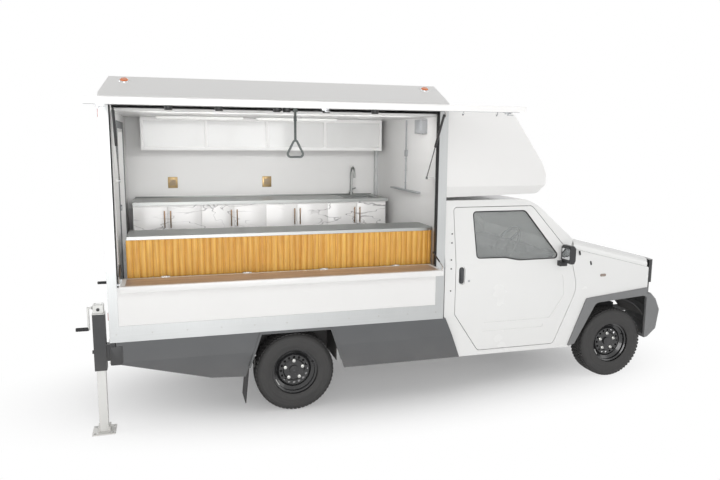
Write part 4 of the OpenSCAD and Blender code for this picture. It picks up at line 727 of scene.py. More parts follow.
def bolts(name, points, facing, radius, height, sides=6, material=None, body="chassis"):
    """Bolt heads on the given places, all facing one way."""
    grown_piece(name, points, [], bolt_tree, {"Radius": radius / 1000, "Height": height / 1000,
                                                     "Sides": sides, "Turn": toward[facing]},
                        material or zinc, body)


pillar_z = (1455, 1376, 1226, 1147, 950)
for side, facing in ((-1, "-y"), (1, "+y")):
    word = "right" if side < 0 else "left"
    bolts(f"{word}_pillar_screws", [(1376, side * 870.3, z) for z in pillar_z], facing, 4.5, 3, 12,
          black_rubber)
    bolts(f"{word}_sill_screws", [(x, side * 920.4, 784) for x in range(-1380, 1280, 260)], facing, 4, 2.4,
          12)
bolts("shelf_hinge_screws", [(x + dx, -822, 1195.2) for x in (-1071, -444, 183, 810) for dx in (-30, 30)],
      "+z", 4, 2.4, 12)

# ---------- Tyres ----------
# Radial truck tyres: a carcass with bead ribs and sidewall rings, and three
# rings of tread blocks with a sawtooth shoulder.
tyre_r = 333.0
tread_tree, entry = node_tree("tread_blocks_on_a_wheel", ["Count", "Radius", "Size", "Slant"])
ring_of = add_node(tread_tree.nodes, "GeometryNodeMeshCircle")
block = add_node(tread_tree.nodes, "GeometryNodeMeshCube")
lay = add_node(tread_tree.nodes, "GeometryNodeInstanceOnPoints")
place_of = add_node(tread_tree.nodes, "GeometryNodeInputPosition")
aim = add_node(tread_tree.nodes, "FunctionNodeAlignEulerToVector", axis="Z")
tilt = add_node(tread_tree.nodes, "GeometryNodeRotateInstances")
tilt_by = add_node(tread_tree.nodes, "ShaderNodeCombineXYZ")
shift = add_node(tread_tree.nodes, "GeometryNodeInstanceOnPoints")
wire(tread_tree.links, (entry, "Count", ring_of, "Vertices"), (entry, "Radius", ring_of, "Radius"),
     (ring_of, "Mesh", lay, "Points"), (entry, "Size", block, "Size"), (block, "Mesh", lay, "Instance"),
     (place_of, "Position", aim, "Vector"), (aim, "Rotation", lay, "Rotation"),
     (entry, "Slant", tilt_by, "Z"), (lay, "Instances", tilt, "Instances"),
     (tilt_by, "Vector", tilt, "Rotation"), (entry, "Geometry", shift, "Points"),
     (tilt, "Instances", shift, "Instance"))
shift.inputs["Rotation"].default_value = (math.pi / 2, 0, 0)
close_tree(tread_tree, entry, shift.outputs["Instances"])
wheels = {"right_front": (3085, -1), "left_front": (3085, 1), "right_rear": (0, -1), "left_rear": (0, 1)}
wheel_y = 755.5
carcass_half = [(190, 83.0), (193, 90.5), (200, 93.0), (206, 91.5), (210, 94.0), (222, 95.5), (238, 97.0),
                (241, 97.4), (244, 96.6), (262, 97.2), (266, 97.5), (270, 96.8), (286, 95.0), (290, 95.6),
                (294, 94.0), (306, 89.5), (316, 82.5), (322, 74.0), (325, 64.0), (325.5, 51.0), (321, 50.0),
                (321, 45.0), (325.5, 44.0), (326.5, 19.0), (321, 18.0), (321, 13.0), (326.5, 12.0),
                (327, 0.0)]
sidewall, nodes, links, shader = new_material("tyre_sidewall_rubber")
place = add_node(nodes, "ShaderNodeTexCoord")
dust = add_node(nodes, "ShaderNodeTexNoise", {"Scale": 14.0, "Detail": 6})
tone = add_node(nodes, "ShaderNodeMixRGB", {1: (0.020, 0.020, 0.021, 1), 2: (0.052, 0.050, 0.048, 1)})
pores = add_node(nodes, "ShaderNodeTexNoise", {"Scale": 900.0})
relief = add_node(nodes, "ShaderNodeBump", {"Strength": 0.25, "Distance": 0.001})
gloss = add_node(nodes, "ShaderNodeMapRange", {"To Min": 0.5, "To Max": 0.8})
wire(links, (place, "Object", dust, "Vector"), (place, "Object", pores, "Vector"), (dust, "Fac", tone, 0),
     (tone, 0, shader, "Base Color"), (dust, "Fac", gloss, "Value"), (gloss, "Result", shader, "Roughness"),
     (pores, "Fac", relief, "Height"), (relief, "Normal", shader, "Normal"))
profile = [(r, -y) for r, y in carcass_half] + [(r, y) for r, y in carcass_half[-2::-1]]
profile += [(196, 78), (300, 76), (312, 50), (312, -50), (300, -76), (196, -78)]
rib_ends, rib_count = ((297, 91.5), (312, 85.0)), 60
for word, (x, side) in wheels.items():
    bm, steps, rings = bmesh.new(), 120, []
    for k in range(steps):
        a = 2 * math.pi * k / steps
        rings.append([bm.verts.new((x + r * math.cos(a), side * wheel_y + y, tyre_r + r * math.sin(a)))
                      for r, y in profile])
    for k in range(steps):
        one, two = rings[k], rings[(k + 1) % steps]
        for i in range(len(profile)):
            j = (i + 1) % len(profile)
            bm.faces.new((one[i], one[j], two[j], two[i]))
    bmesh.ops.recalc_face_normals(bm, faces=bm.faces)
    # Fine ribs where the sidewall meets the tread
    for k in range(rib_count):
        a = 2 * math.pi * (k + 0.5) / rib_count
        for s in (-1, 1):
            ends = [Vector((x + r * math.cos(a), side * wheel_y + s * y, tyre_r + r * math.sin(a)))
                    for r, y in rib_ends]
            add_rod(bm, ends[0], ends[1], 2.6, 2.6, 5)
    body = word + "_wheel"
    tyre = made(word + "_tyre_carcass", bm, sidewall, body, rounding=0, shade=50)
    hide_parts(word + "_tyre")
    for row, count, dy, radius, size, slant in (
            ("middle", 72, 0.0, 0.3284, (0.023, 0.019, 0.0085), 0.0),
            ("inner_left", 64, -31.5, 0.3284, (0.024, 0.019, 0.0085), 0.35),
            ("inner_right", 64, 31.5, 0.3284, (0.024, 0.019, 0.0085), -0.35),
            ("shoulder_left", 60, -66.0, 0.3255, (0.027, 0.023, 0.008), 0.12),
            ("shoulder_right", 60, 66.0, 0.3255, (0.027, 0.023, 0.008), -0.12)):
        sizes = {"Count": count, "Radius": radius, "Size": size, "Slant": slant}
        grown_piece(f"{word}_tread_{row}", [(x, side * wheel_y + dy, tyre_r)], [], tread_tree, sizes,
                            sidewall, body)

# ---------- Wheel fixings ----------
# Five bright lug nuts, a valve stem and a balance weight on each black steel
# wheel.
bright_nut = finish([], "bright_lug_nut", (0.60, 0.60, 0.58), 0.2, metal=1.0, mottle=(50.0, 0.15),
                    grain=(700.0, 0.05))
nut_r, weight_r = 77, 170
for word, (x, side) in wheels.items():
    facing = "-y" if side < 0 else "+y"
    turns = [2 * math.pi * i / 5 for i in range(5)]
    nuts = [(x + nut_r * math.sin(a), side * (wheel_y + 26), tyre_r + nut_r * math.cos(a)) for a in turns]
    bolts(word + "_lug_nuts", nuts, facing, 9.5, 15, 6, bright_nut, word + "_wheel")
    bm = bmesh.new()
    add_rod(bm, (x + 150, side * (wheel_y + 30), tyre_r + 60), (x + 158, side * (wheel_y + 62), tyre_r + 64),
            4, 3, 10)
    add_rod(bm, (x + 158, side * (wheel_y + 60), tyre_r + 64),
            (x + 159, side * (wheel_y + 70), tyre_r + 64.4), 4.6, 4.6, 10)
    made(word + "_valve", bm, black_rubber, word + "_wheel", rounding=0.4)
    bm = bmesh.new()
    arc = [(x + weight_r * math.cos(math.radians(d)), side * (wheel_y + 66),
            tyre_r + weight_r * math.sin(math.radians(d))) for d in range(200, 222, 4)]
    add_sweep(bm, arc, [(-4, -4), (4, -4), (4, 4), (-4, 4)])
    made(word + "_balance_weight", bm, zinc, word + "_wheel", rounding=0.6)

# ---------- Cab fittings ----------
# Rubber-framed door windows, recessed pull handles with a lock beside each,
# inner door cards, mirror glass, black plates painted as the shade of two small openings, and a repeater on
# each wing.
handle_plastic = finish([], "handle_dark_plastic", (0.055, 0.057, 0.06), 0.38, mottle=(30.0, 0.1),
                        grain=(900.0, 0.12))


def rounded_outline(rows, steps=6):
    """Outline through corner rows [a, b, radius] with its corners rounded."""
    points = []
    for i, (a, b, r) in enumerate(rows):
        p = Vector((a, b))
        u = (Vector(rows[i - 1][:2]) - p).normalized()
        v = (Vector(rows[(i + 1) % len(rows)][:2]) - p).normalized()
        half = math.acos(max(-1, min(1, u.dot(v)))) / 2
        middle = p + (u + v).normalized() * r / math.sin(half)
        start, end = p + u * r / math.tan(half), p + v * r / math.tan(half)
        a0 = math.atan2(start.y - middle.y, start.x - middle.x)
        turn = (math.atan2(end.y - middle.y, end.x - middle.x) - a0 + math.pi) % (2 * math.pi) - math.pi
        points += [(middle.x + r * math.cos(a0 + turn * k / steps),
                    middle.y + r * math.sin(a0 + turn * k / steps))
                   for k in range(steps + 1)]
    return points


def rounded_box(a0, b0, a1, b1, r):
    """Outline of an upright rectangle with its corners rounded."""
    return rounded_outline([(a0, b0, r), (a1, b0, r), (a1, b1, r), (a0, b1, r)])


half_cab, lean_in, belt, roof_z = 870.0, 95.0, 1180.0, 1735.0


def skin_y(z, depth=0.0):
    """Distance of the cab's side skin from the middle at a height."""
    return half_cab - depth - (max(0.0, z - belt) / (roof_z - belt)) * lean_in


window_rows = [(1625, 1228, 30), (1900, 1224, 200), (2035, 1196, 200), (2458, 1198, 30), (2122, 1632, 55),
               (1606, 1632, 30)]
for word, side in (("right", -1), ("left", 1)):
    body = word + "_cab_door"
    line = rounded_outline(window_rows)
    bm = bmesh.new()
    add_sweep(bm, [(x, side * skin_y(z, 4), z) for x, z in line],
              [(-5.5, -5), (5.5, -5), (6.5, 1), (3, 4.6), (-3, 4.6), (-6.5, 1)], closed=True)
    made(word + "_window_rubber", bm, black_rubber, body, rounding=0, shade=50)
    bm = bmesh.new()
    pull = rounded_box(1459, 1006, 1505, 1154, 22)
    add_plate(bm, pull, "y", side * 855, side * 861)
    bow = [(1482, side * 858, 1022), (1482, side * 868, 1034), (1482, side * 871.5, 1060),
           (1482, side * 871.5, 1100), (1482, side * 868, 1126), (1482, side * 858, 1138)]
    add_sweep(bm, bow, [(-11, -3.5), (11, -3.5), (12, 0), (11, 3.5), (-11, 3.5), (-12, 0)])
    made(word + "_door_handle", bm, handle_plastic, body, rounding=0.8)
    bm = bmesh.new()
    add_rod(bm, (1550, side * 869.5, 1030), (1550, side * 872, 1030), 11, 9, 24)
    add_blocks(bm, ((1548.6, side * 872 - 0.6, 1024), (1551.4, side * 872 + 0.6, 1036)))
    made(word + "_door_lock", bm, latch_steel, body, rounding=0.4)
    # Inner door card with its armrest, pull and winder
    bm = bmesh.new()
    card = rounded_outline([(1690, 470, 40), (2400, 470, 40), (2470, 900, 120), (2440, 1150, 40),
                            (1600, 1150, 40), (1560, 720, 60)])
    add_plate(bm, card, "y", side * 810, side * 821.3)
    add_blocks(bm, ((1760, min(side * 755, side * 811), 880), (2210, max(side * 755, side * 811), 925)))
    add_rod(bm, (2260, side * 811, 800), (2260, side * 780, 800), 14, 14)
    add_rod(bm, (2260, side * 782, 800), (2340, side * 776, 770), 8, 7)
    add_rod(bm, (2340, side * 778, 770), (2340, side * 752, 770), 10, 12)
    made(word + "_door_card", bm, dash_plastic, body, rounding=4)
    # Mirror glass in the rear face of the head
    bm = bmesh.new()
    head_low, head_high = (to_metres.inverted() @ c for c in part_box(word + "_mirror"))
    y_in, y_out = sorted((side * (half_cab + 58), side * (half_cab + 176)))
    pane = rounded_box(y_in, 1206, y_out, 1304, 12)
    add_plate(bm, pane, "x", head_low.x + 8.4, head_low.x + 10.2)
    made(word + "_mirror_glass", bm, chrome, body, rounding=0.3)
    # Two black plates on the side of the nose: painted shade standing in for two small openings
    bm = bmesh.new()
    for x, z in ((2666, 1234), (2791, 1134)):
        slot = rounded_outline([(x - 14, z + 20, 7), (x - 4, z - 20, 7), (x + 14, z - 20, 7),
                                (x + 4, z + 20, 7)], 3)
        add_plate(bm, slot, "y", side * 869, side * 871)
    made(word + "_wing_vent_shade_plates", bm, black_rubber, "chassis", rounding=0.4)
    # Smoked turn repeater
    bm = bmesh.new()
    lens_line = rounded_box(2900, 1000, 2962, 1026, 12)
    add_plate(bm, lens_line, "y", side * 869.5, side * 875)
    smoked = finish([], word + "_amber_lens", (0.30, 0.24, 0.20), 0.18, coat=0.6, mottle=(60.0, 0.1),
                    grain=(250.0, 0.2))
    made(word + "_repeater", bm, smoked, "chassis", rounding=1.5)

# ---------- Windscreen surround and wipers ----------
# A black rubber surround seals the screen to the cab, and two plastic wiper
# arms with their blades rest on its lower edge.
screen_place = to_metres @ Matrix.Translation((2437, 0, 1508)) @ Matrix.Rotation(math.radians(42.2), 4, "Y")
bm = bmesh.new()
screen_line = rounded_outline([(-170, -640, 40), (170, -712, 40), (170, 712, 40), (-170, 640, 40)])
add_sweep(bm, [(x, y, -1) for x, y in screen_line], [(-9, -6), (9, -6), (9, 1), (3, 3), (-3, 3), (-9, 1)],
          closed=True)
made("windscreen_rubber", bm, black_rubber, "chassis", rounding=0, place=screen_place, shade=50)
bm = bmesh.new()
for y in (-430, 160):
    add_rod(bm, (176, y, 0), (176, y, 14), 12, 9)
    add_sweep(bm, [(176, y, 12), (120, y + 60, 12), (20, y + 180, 7)], [(-5, -2), (5, -2), (5, 2), (-5, 2)])
    add_sweep(bm, [(95, y - 60, 3.5), (10, y + 190, 3.5), (-60, y + 395, 3.5)],
              [(-3, -3), (3, -3), (2, 4), (-2, 4)])
made("wipers", bm, handle_plastic, "chassis", rounding=0.5, place=screen_place)

# ---------- Nose: lamps, grille bars and plate holder ----------
# Three round lamps a side, each a bright bowl, a dark ring and a clear cover,
# with plastic bars in the grille and a rail for a plate on the bumper.
lens_clear = glass([], "lamp_lens", (0.55, 0.57, 0.58), 0.35)
reflector = finish([], "lamp_reflector", (0.72, 0.73, 0.74), 0.12, metal=1.0, mottle=(8.0, 0.05),
                   grain=(120.0, 0.1))
grille_low, grille_high = (to_metres.inverted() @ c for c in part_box("grille_panel"))
nose_x = grille_high.x
for word, side in (("right", -1), ("left", 1)):
    bowl, ring, cover = bmesh.new(), bmesh.new(), bmesh.new()
    for y, z, r in ((side * 640, 1020, 58), (side * 790, 1020, 42), (side * 640, 900, 30)):
        x = nose_x - 6 - max(0, abs(y) - 640) * 0.10
        add_rod(bowl, (x - 2, y, z), (x + 5, y, z), r - 10, r - 3, 36)
        round_line = [(x + 6, y + r * math.cos(a), z + r * math.sin(a))
                      for a in (2 * math.pi * k / 36 for k in range(36))]
        add_sweep(ring, round_line, circle_section(4, 8), closed=True)
        add_rod(cover, (x + 5.5, y, z), (x + 11, y, z), r - 3, r - 16, 36)
    made(word + "_lamp_bowls", bowl, reflector, "chassis", rounding=0.5)
    made(word + "_lamp_rings", ring, lamp_black, "chassis", rounding=0)
    made(word + "_lamp_lenses", cover, lens_clear, "chassis", rounding=1.0)
bm = bmesh.new()
for z in range(868, 1090, 48):
    add_blocks(bm, ((nose_x - 20, -468, z - 3), (nose_x - 10, 468, z + 3)))
for y in range(-400, 401, 100):
    add_blocks(bm, ((nose_x - 30, y - 3, 850), (nose_x - 20, y + 3, 1104)))
made("grille_bars", bm, handle_plastic, "chassis", rounding=1.0)
plate_blank = finish([], "plate_blank", (0.70, 0.70, 0.68), 0.45, mottle=(10.0, 0.04), grain=(300.0, 0.06))
bumper_high = to_metres.inverted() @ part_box("front_trim")[1]
bm = bmesh.new()
add_blocks(bm, ((bumper_high.x - 3, -230, 612), (bumper_high.x - 0.2, 230, 638)))
made("front_plate_rail", bm, lamp_black, "chassis", rounding=0.8)

# ---------- Cab seats ----------
# Two upholstered bucket seats on steel runners: woven cloth over moulded foam,
# piped along the bolsters, with headrests on two posts.
weave, nodes, links, shader = new_material("seat_woven_cloth")
place = add_node(nodes, "ShaderNodeTexCoord")
warp = add_node(nodes, "ShaderNodeTexWave", {"Scale": 260.0})
weft = add_node(nodes, "ShaderNodeTexWave", {"Scale": 260.0}, bands_direction="Y")
cross = add_node(nodes, "ShaderNodeMath", operation="MULTIPLY")
shade = add_node(nodes, "ShaderNodeTexNoise", {"Scale": 18.0})
tone = add_node(nodes, "ShaderNodeMixRGB", {1: (0.050, 0.052, 0.056, 1), 2: (0.105, 0.108, 0.115, 1)})
relief = add_node(nodes, "ShaderNodeBump", {"Strength": 0.5, "Distance": 0.001})
for wave in (warp, weft):
    wire(links, (place, "Object", wave, "Vector"))
wire(links, (place, "Object", shade, "Vector"), (warp, "Fac", cross, 0), (weft, "Fac", cross, 1),
     (shade, "Fac", tone, 0), (tone, 0, shader, "Base Color"), (cross, 0, relief, "Height"),
     (relief, "Normal", shader, "Normal"))
shader.inputs["Roughness"].default_value = 0.9
shader.inputs["Sheen Weight"].default_value = 0.3


def padded_block(rows, half_w):
    """A pad with the side outline given by rows: its middle swells, its edges draw in along a seam."""
    outline = rounded_outline(rows, 5)
    centre = Vector((sum(p[0] for p in outline) / len(outline), sum(p[1] for p in outline) / len(outline)))
    bm, steps, rings = bmesh.new(), 16, []
    for k in range(steps + 1):
        t = -1 + 2 * k / steps
        draw = 1 - 0.10 * abs(t) ** 4 - 0.02 * (abs(abs(t) - 0.62) < 0.07)
        rings.append([bm.verts.new((centre.x + (a - centre.x) * draw, t * half_w,
                                    centre.y + (b - centre.y) * draw)) for a, b in outline])
    n = len(outline)
    for one, two in zip(rings, rings[1:]):
        for i in range(n):
            bm.faces.new((one[i], one[(i + 1) % n], two[(i + 1) % n], two[i]))
    for ring, inward in ((rings[0], 1), (rings[-1], -1)):
        last = ring
        for scale, out in ((0.8, 6), (0.45, 9), (0.12, 10)):
            y = ring[0].co.y - inward * out
            loop = [bm.verts.new((centre.x + (v.co.x - centre.x) * scale, y,
                                  centre.y + (v.co.z - centre.y) * scale)) for v in ring]
            for i in range(n):
                bm.faces.new((last[i], last[(i + 1) % n], loop[(i + 1) % n], loop[i]))
            last = loop
        bm.faces.new(last)
    bmesh.ops.recalc_face_normals(bm, faces=bm.faces)
    return bm


for word, y in (("right", -360), ("left", 360)):
    there = to_metres @ Matrix.Translation((0, y, 0))
    parts = [("cushion", [(1625, 668, 30), (2060, 668, 40), (2082, 815, 50), (1700, 786, 40),
                          (1640, 800, 40)], 228, 0.8),
             ("backrest", [(1655, 815, 40), (1715, 815, 40), (1608, 1236, 40), (1494, 1228, 40),
                           (1560, 880, 60)], 222, 0.8),
             ("headrest", [(1503, 1270, 20), (1580, 1276, 20), (1562, 1432, 34), (1484, 1424, 34)], 116, 0.9)]
    for pad, rows, half_w, fill in parts:
        piece = made(f"{word}_seat_{pad}", padded_block(rows, half_w), weave, "chassis", rounding=0,
                     place=there, shade=60)
        soft = piece.modifiers.new("soft", "SUBSURF")
        soft.levels = soft.render_levels = 1
    bm = bmesh.new()
    for s in (-60, 60):
        add_rod(bm, (1540, s, 1228), (1536, s, 1284), 6)
    for s in (-175, 175):
        add_blocks(bm, ((1600, s - 18, 651), (2050, s + 18, 662)), ((1640, s - 12, 660), (1700, s + 12, 672)),
                   ((1980, s - 12, 660), (2040, s + 12, 672)))
    frame_piece = made(word + "_seat_frame", bm, latch_steel, "chassis", rounding=0.8, place=there)
    if word == "right":
        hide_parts("cab_seats")

# ---------- Roof ----------
# Amber marker lamps in chrome rings on the roof slopes, rivets along the roof
# rails and a folded drip edge over each long side.
amber_lens, nodes, links, shader = new_material("marker_amber_lens")
place = add_node(nodes, "ShaderNodeTexCoord")
flutes = add_node(nodes, "ShaderNodeTexWave", {"Scale": 60.0})
tone = add_node(nodes, "ShaderNodeMixRGB", {1: (0.62, 0.10, 0.015, 1), 2: (0.86, 0.24, 0.03, 1)})
relief = add_node(nodes, "ShaderNodeBump", {"Strength": 0.5, "Distance": 0.001})
wire(links, (place, "Object", flutes, "Vector"), (flutes, "Fac", tone, 0), (tone, 0, shader, "Base Color"),
     (flutes, "Fac", relief, "Height"), (relief, "Normal", shader, "Normal"))
shader.inputs["Roughness"].default_value = 0.16
shader.inputs["Coat Weight"].default_value = 0.7
slope = math.atan2(161, 315)
rings, domes, feet = bmesh.new(), bmesh.new(), bmesh.new()
for side in (-1, 1):
    for x in (-1255, 1165):
        spot = Matrix.Translation((x, side * 682, 2676)) @ Matrix.Rotation(-side * slope, 4, "X")
        for bm, low, high, r0, r1 in ((feet, -3, 5, 46, 44), (rings, 4, 10, 41, 38), (domes, 9, 19, 34, 22)):
            bmesh.ops.create_cone(bm, cap_ends=True, segments=32, radius1=r0, radius2=r1, depth=high - low,
                                  matrix=spot @ Matrix.Translation((0, 0, (low + high) / 2)))
made("marker_lamp_feet", feet, panel_skin, "chassis", rounding=1.0)
made("marker_lamp_rings", rings, chrome, "chassis", rounding=1.5)
made("marker_lamp_lenses", domes, amber_lens, "chassis", rounding=4.0)
for side, facing in ((-1, "-y"), (1, "+y")):
    word = "right" if side < 0 else "left"
    bolts(word + "_roof_rivets", [(x, side * 920.2, 2522) for x in range(-1400, 1281, 134)], facing, 3.2, 1.6,
          10, post_metal)
bm = bmesh.new()
for side in (-1, 1):
    add_plate(bm, [(side * 918, 2529), (side * 921.5, 2529), (side * 922.5, 2541), (side * 918, 2541)], "x",
              -1426, 1288)
made("roof_drip_edges", bm, post_metal, "chassis", rounding=0.4)

# ---------- Hanging pull ----------
# Woven strap with a moulded loop grip that hangs from the open hatch.
bm = bmesh.new()
hook_x, hook_y = -150, -755
add_blocks(bm, ((hook_x - 15, hook_y - 9, -hatch_half - 30), (hook_x + 15, hook_y + 9, -hatch_half + 4.7)))
hook = Matrix.Translation((hook_x, hook_y, -hatch_half - 10))
hanging = hatch_place @ hook @ Matrix.Rotation(-math.radians(hatch_slope), 4, "X")
made("pull_bracket", bm, strap_plastic, "serving_hatch", rounding=2.0, place=hatch_place)
webbing, nodes, links, shader = new_material("strap_webbing")
place = add_node(nodes, "ShaderNodeTexCoord")
weft = add_node(nodes, "ShaderNodeTexWave", {"Scale": 160.0}, bands_direction="Z")
tone = add_node(nodes, "ShaderNodeMixRGB", {1: (0.07, 0.08, 0.077, 1), 2: (0.15, 0.17, 0.165, 1)})
relief = add_node(nodes, "ShaderNodeBump", {"Strength": 0.6, "Distance": 0.001})
wire(links, (place, "Object", weft, "Vector"), (weft, "Fac", tone, 0), (tone, 0, shader, "Base Color"),
     (weft, "Fac", relief, "Height"), (relief, "Normal", shader, "Normal"))
shader.inputs["Roughness"].default_value = 0.8
bm = bmesh.new()
for y in (-3.2, 1.2):
    add_plate(bm, [(-8, -4), (8, -4), (8, -120), (8, -212), (-8, -212), (-8, -120)], "y", y, y + 2.2)
add_blocks(bm, ((-10, -5, -78), (10, 5, -46)))
strap = made("pull_strap", bm, webbing, "serving_hatch", rounding=0.5, place=hanging)
bm = bmesh.new()
loop = rounded_outline([(0, -188, 14), (64, -312, 20), (-64, -312, 20)], 7)
add_sweep(bm, [(x, 0, z) for x, z in loop], circle_section(7.5, 14), closed=True)
grip = made("pull_grip", bm, strap_plastic, "serving_hatch", rounding=0, place=hanging, shade=60)
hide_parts("grab_handle")

# ---------- Rear wall and door ----------
# Strap hinges on the left edge, a lock and latch, a seal and a grey jamb, red,
# amber and white lamps on the bumper, bumper ends and a blank number plate.
rear_x = -1430.0
door_low, door_high, door_half = 860, 2325, 350
hinge_heights = (1010, 1580, 2180)
leaf_half, leaf_reach = 34, 70
seal, leaves, straps = bmesh.new(), bmesh.new(), bmesh.new()
for y0, y1, z0, z1 in ((-door_half, -345.6, door_low, door_high), (345.6, door_half, door_low, door_high),
                       (-door_half, door_half, 2326, 2330.4)):
    add_blocks(seal, ((rear_x + 1.2, y0, z0), (rear_x + 3.4, y1, z1)))
for z in hinge_heights:
    add_blocks(leaves, ((rear_x - 3.2, door_half + 2, z - leaf_half),
                        (rear_x + 1.4, door_half + leaf_reach, z + leaf_half)))
    add_rod(leaves, (rear_x - 2, 347.8, z - leaf_half), (rear_x - 2, 347.8, z + leaf_half), 7)
    add_blocks(straps, ((rear_x - 2.6, 262, z - 22), (rear_x + 1.6, 338, z + 22)))
lock_y, lever_z, lever_out = -300, 1410, rear_x - 26
add_plate(straps, rounded_box(-330, 1330, -270, 1450, 10), "x", rear_x - 3, rear_x + 1.6)
add_rod(straps, (rear_x - 3, lock_y, 1360), (rear_x - 9, lock_y, 1360), 13, 11, 24)
add_sweep(straps, [(rear_x - 4, lock_y, lever_z), (lever_out, lock_y, lever_z), (lever_out, -268, lever_z),
                   (lever_out, -225, 1408)], [(-6, -4), (6, -4), (6, 4), (-6, 4)])
made("rear_door_seal", seal, black_rubber, "chassis", rounding=0.4)
made("rear_door_hinge_leaves", leaves, latch_steel, "chassis", rounding=0.8)
made("rear_door_latch", straps, latch_steel, "rear_door", rounding=1.0)
inside, knob_z = rear_x + 41.5, 1684
bm = bmesh.new()
add_rod(bm, (inside, lock_y, knob_z), (rear_x + 74, lock_y, knob_z), 9, 9)
add_rod(bm, (rear_x + 70, lock_y, knob_z), (rear_x + 96, lock_y, knob_z), 22, 26, 28)
add_blocks(bm, ((inside, -330, 1640), (inside + 3.5, -270, 1730)),
           ((inside, -322, 2230), (inside + 14.5, -250, 2262)),
           ((inside, -322, 2060), (inside + 14.5, -250, 2092)))
made("rear_door_inner_knob", bm, latch_steel, "rear_door", rounding=1.2)
jamb_grey = finish([], "jamb_grey", (0.14, 0.145, 0.15), 0.5, mottle=(12.0, 0.08), grain=(900.0, 0.1))
jamb_x0, jamb_x1, jamb_y, jamb_top = -1390, -1340.5, 420, 2330
bm = bmesh.new()
add_blocks(bm, ((jamb_x0, -jamb_y, 790), (jamb_x1, -352, jamb_top)),
           ((jamb_x0, 352, 790), (jamb_x1, jamb_y, jamb_top)),
           ((jamb_x0, -jamb_y, jamb_top), (jamb_x1, jamb_y, jamb_top + 62)))
made("rear_door_jamb", bm, jamb_grey, "chassis", rounding=3.0)
bm = bmesh.new()
end_outline = rounded_outline([(-1429.5, 545, 14), (-1340, 545, 24), (-1340, 690, 4), (-1429.5, 690, 4)])
for y0, y1 in ((-924, -870), (870, 924)):
    add_plate(bm, end_outline, "y", y0, y1)
made("bumper_ends", bm, underbody_paint, "chassis", rounding=3.0)
stop_red = finish([], "stop_lamp_red", (0.42, 0.012, 0.010), 0.14, coat=0.7, mottle=(70.0, 0.15),
                  grain=(200.0, 0.3))
lamp_inner, lamp_outer, lamp_low, lamp_top = 560, 770, 580, 690
shells, reds, ambers, whites = bmesh.new(), bmesh.new(), bmesh.new(), bmesh.new()
for side in (-1, 1):
    y0, y1 = sorted((side * lamp_inner, side * lamp_outer))
    add_plate(shells, rounded_box(y0, lamp_low, y1, lamp_top, 14), "x", rear_x - 16, rear_x + 0.5)
    cuts = [y0 + 8, y0 + 74, y0 + 138, y1 - 8]
    order = (whites, reds, ambers) if side < 0 else (ambers, reds, whites)
    for bm, a, b in zip(order, cuts, cuts[1:]):
        lens = rounded_box(a + 2, lamp_low + 10, b - 2, lamp_top - 10, 6)
        add_plate(bm, lens, "x", rear_x - 24, rear_x - 15)
    for z in (890, 2400):
        marker = rounded_box(side * 880 - 16, z, side * 880 + 16, z + 60, 6)
        add_plate(reds, marker, "x", rear_x - 6, rear_x + 0.5)
for lamp_part, bm, material, slot in (("shells", shells, lamp_black, "grille_black"),
                                      ("reds", reds, stop_red, "slat_wood"),
                                      ("ambers", ambers, amber_lens, "slat_wood"),
                                      ("whites", whites, lamp_diffuser, "panel_white")):
    made("rear_lamp_" + lamp_part, bm, material, "chassis", rounding=1.5)
bm = bmesh.new()
add_plate(bm, rounded_box(-260, 572, 260, 692, 8), "x", rear_x - 3, rear_x + 0.4)
made("rear_plate_blank", bm, plate_blank, "chassis", rounding=0.6)
bm = bmesh.new()
add_blocks(bm, ((rear_x - 30, -60, 698), (rear_x + 0.4, 60, 716)))
for y in (-240, 240):
    add_rod(bm, (rear_x - 2.5, y, 632), (rear_x - 6, y, 632), 7, 6, 12)
made("rear_plate_lamp", bm, lamp_black, "chassis", rounding=1.5)
bolt_x, rail_y, jack_y = rear_x - 0.6, 380.0, 845
for side, word in ((-1, "right"), (1, "left")):
    rail_bolts = [(bolt_x, side * (rail_y + d), 650) for d in (-18, 18)]
    jack_bolts = [(bolt_x, side * (jack_y + d), z) for d in (-24, 24) for z in (575, 695)]
    bolts(word + "_bumper_bolts", rail_bolts + jack_bolts, "-x", 8, 5)

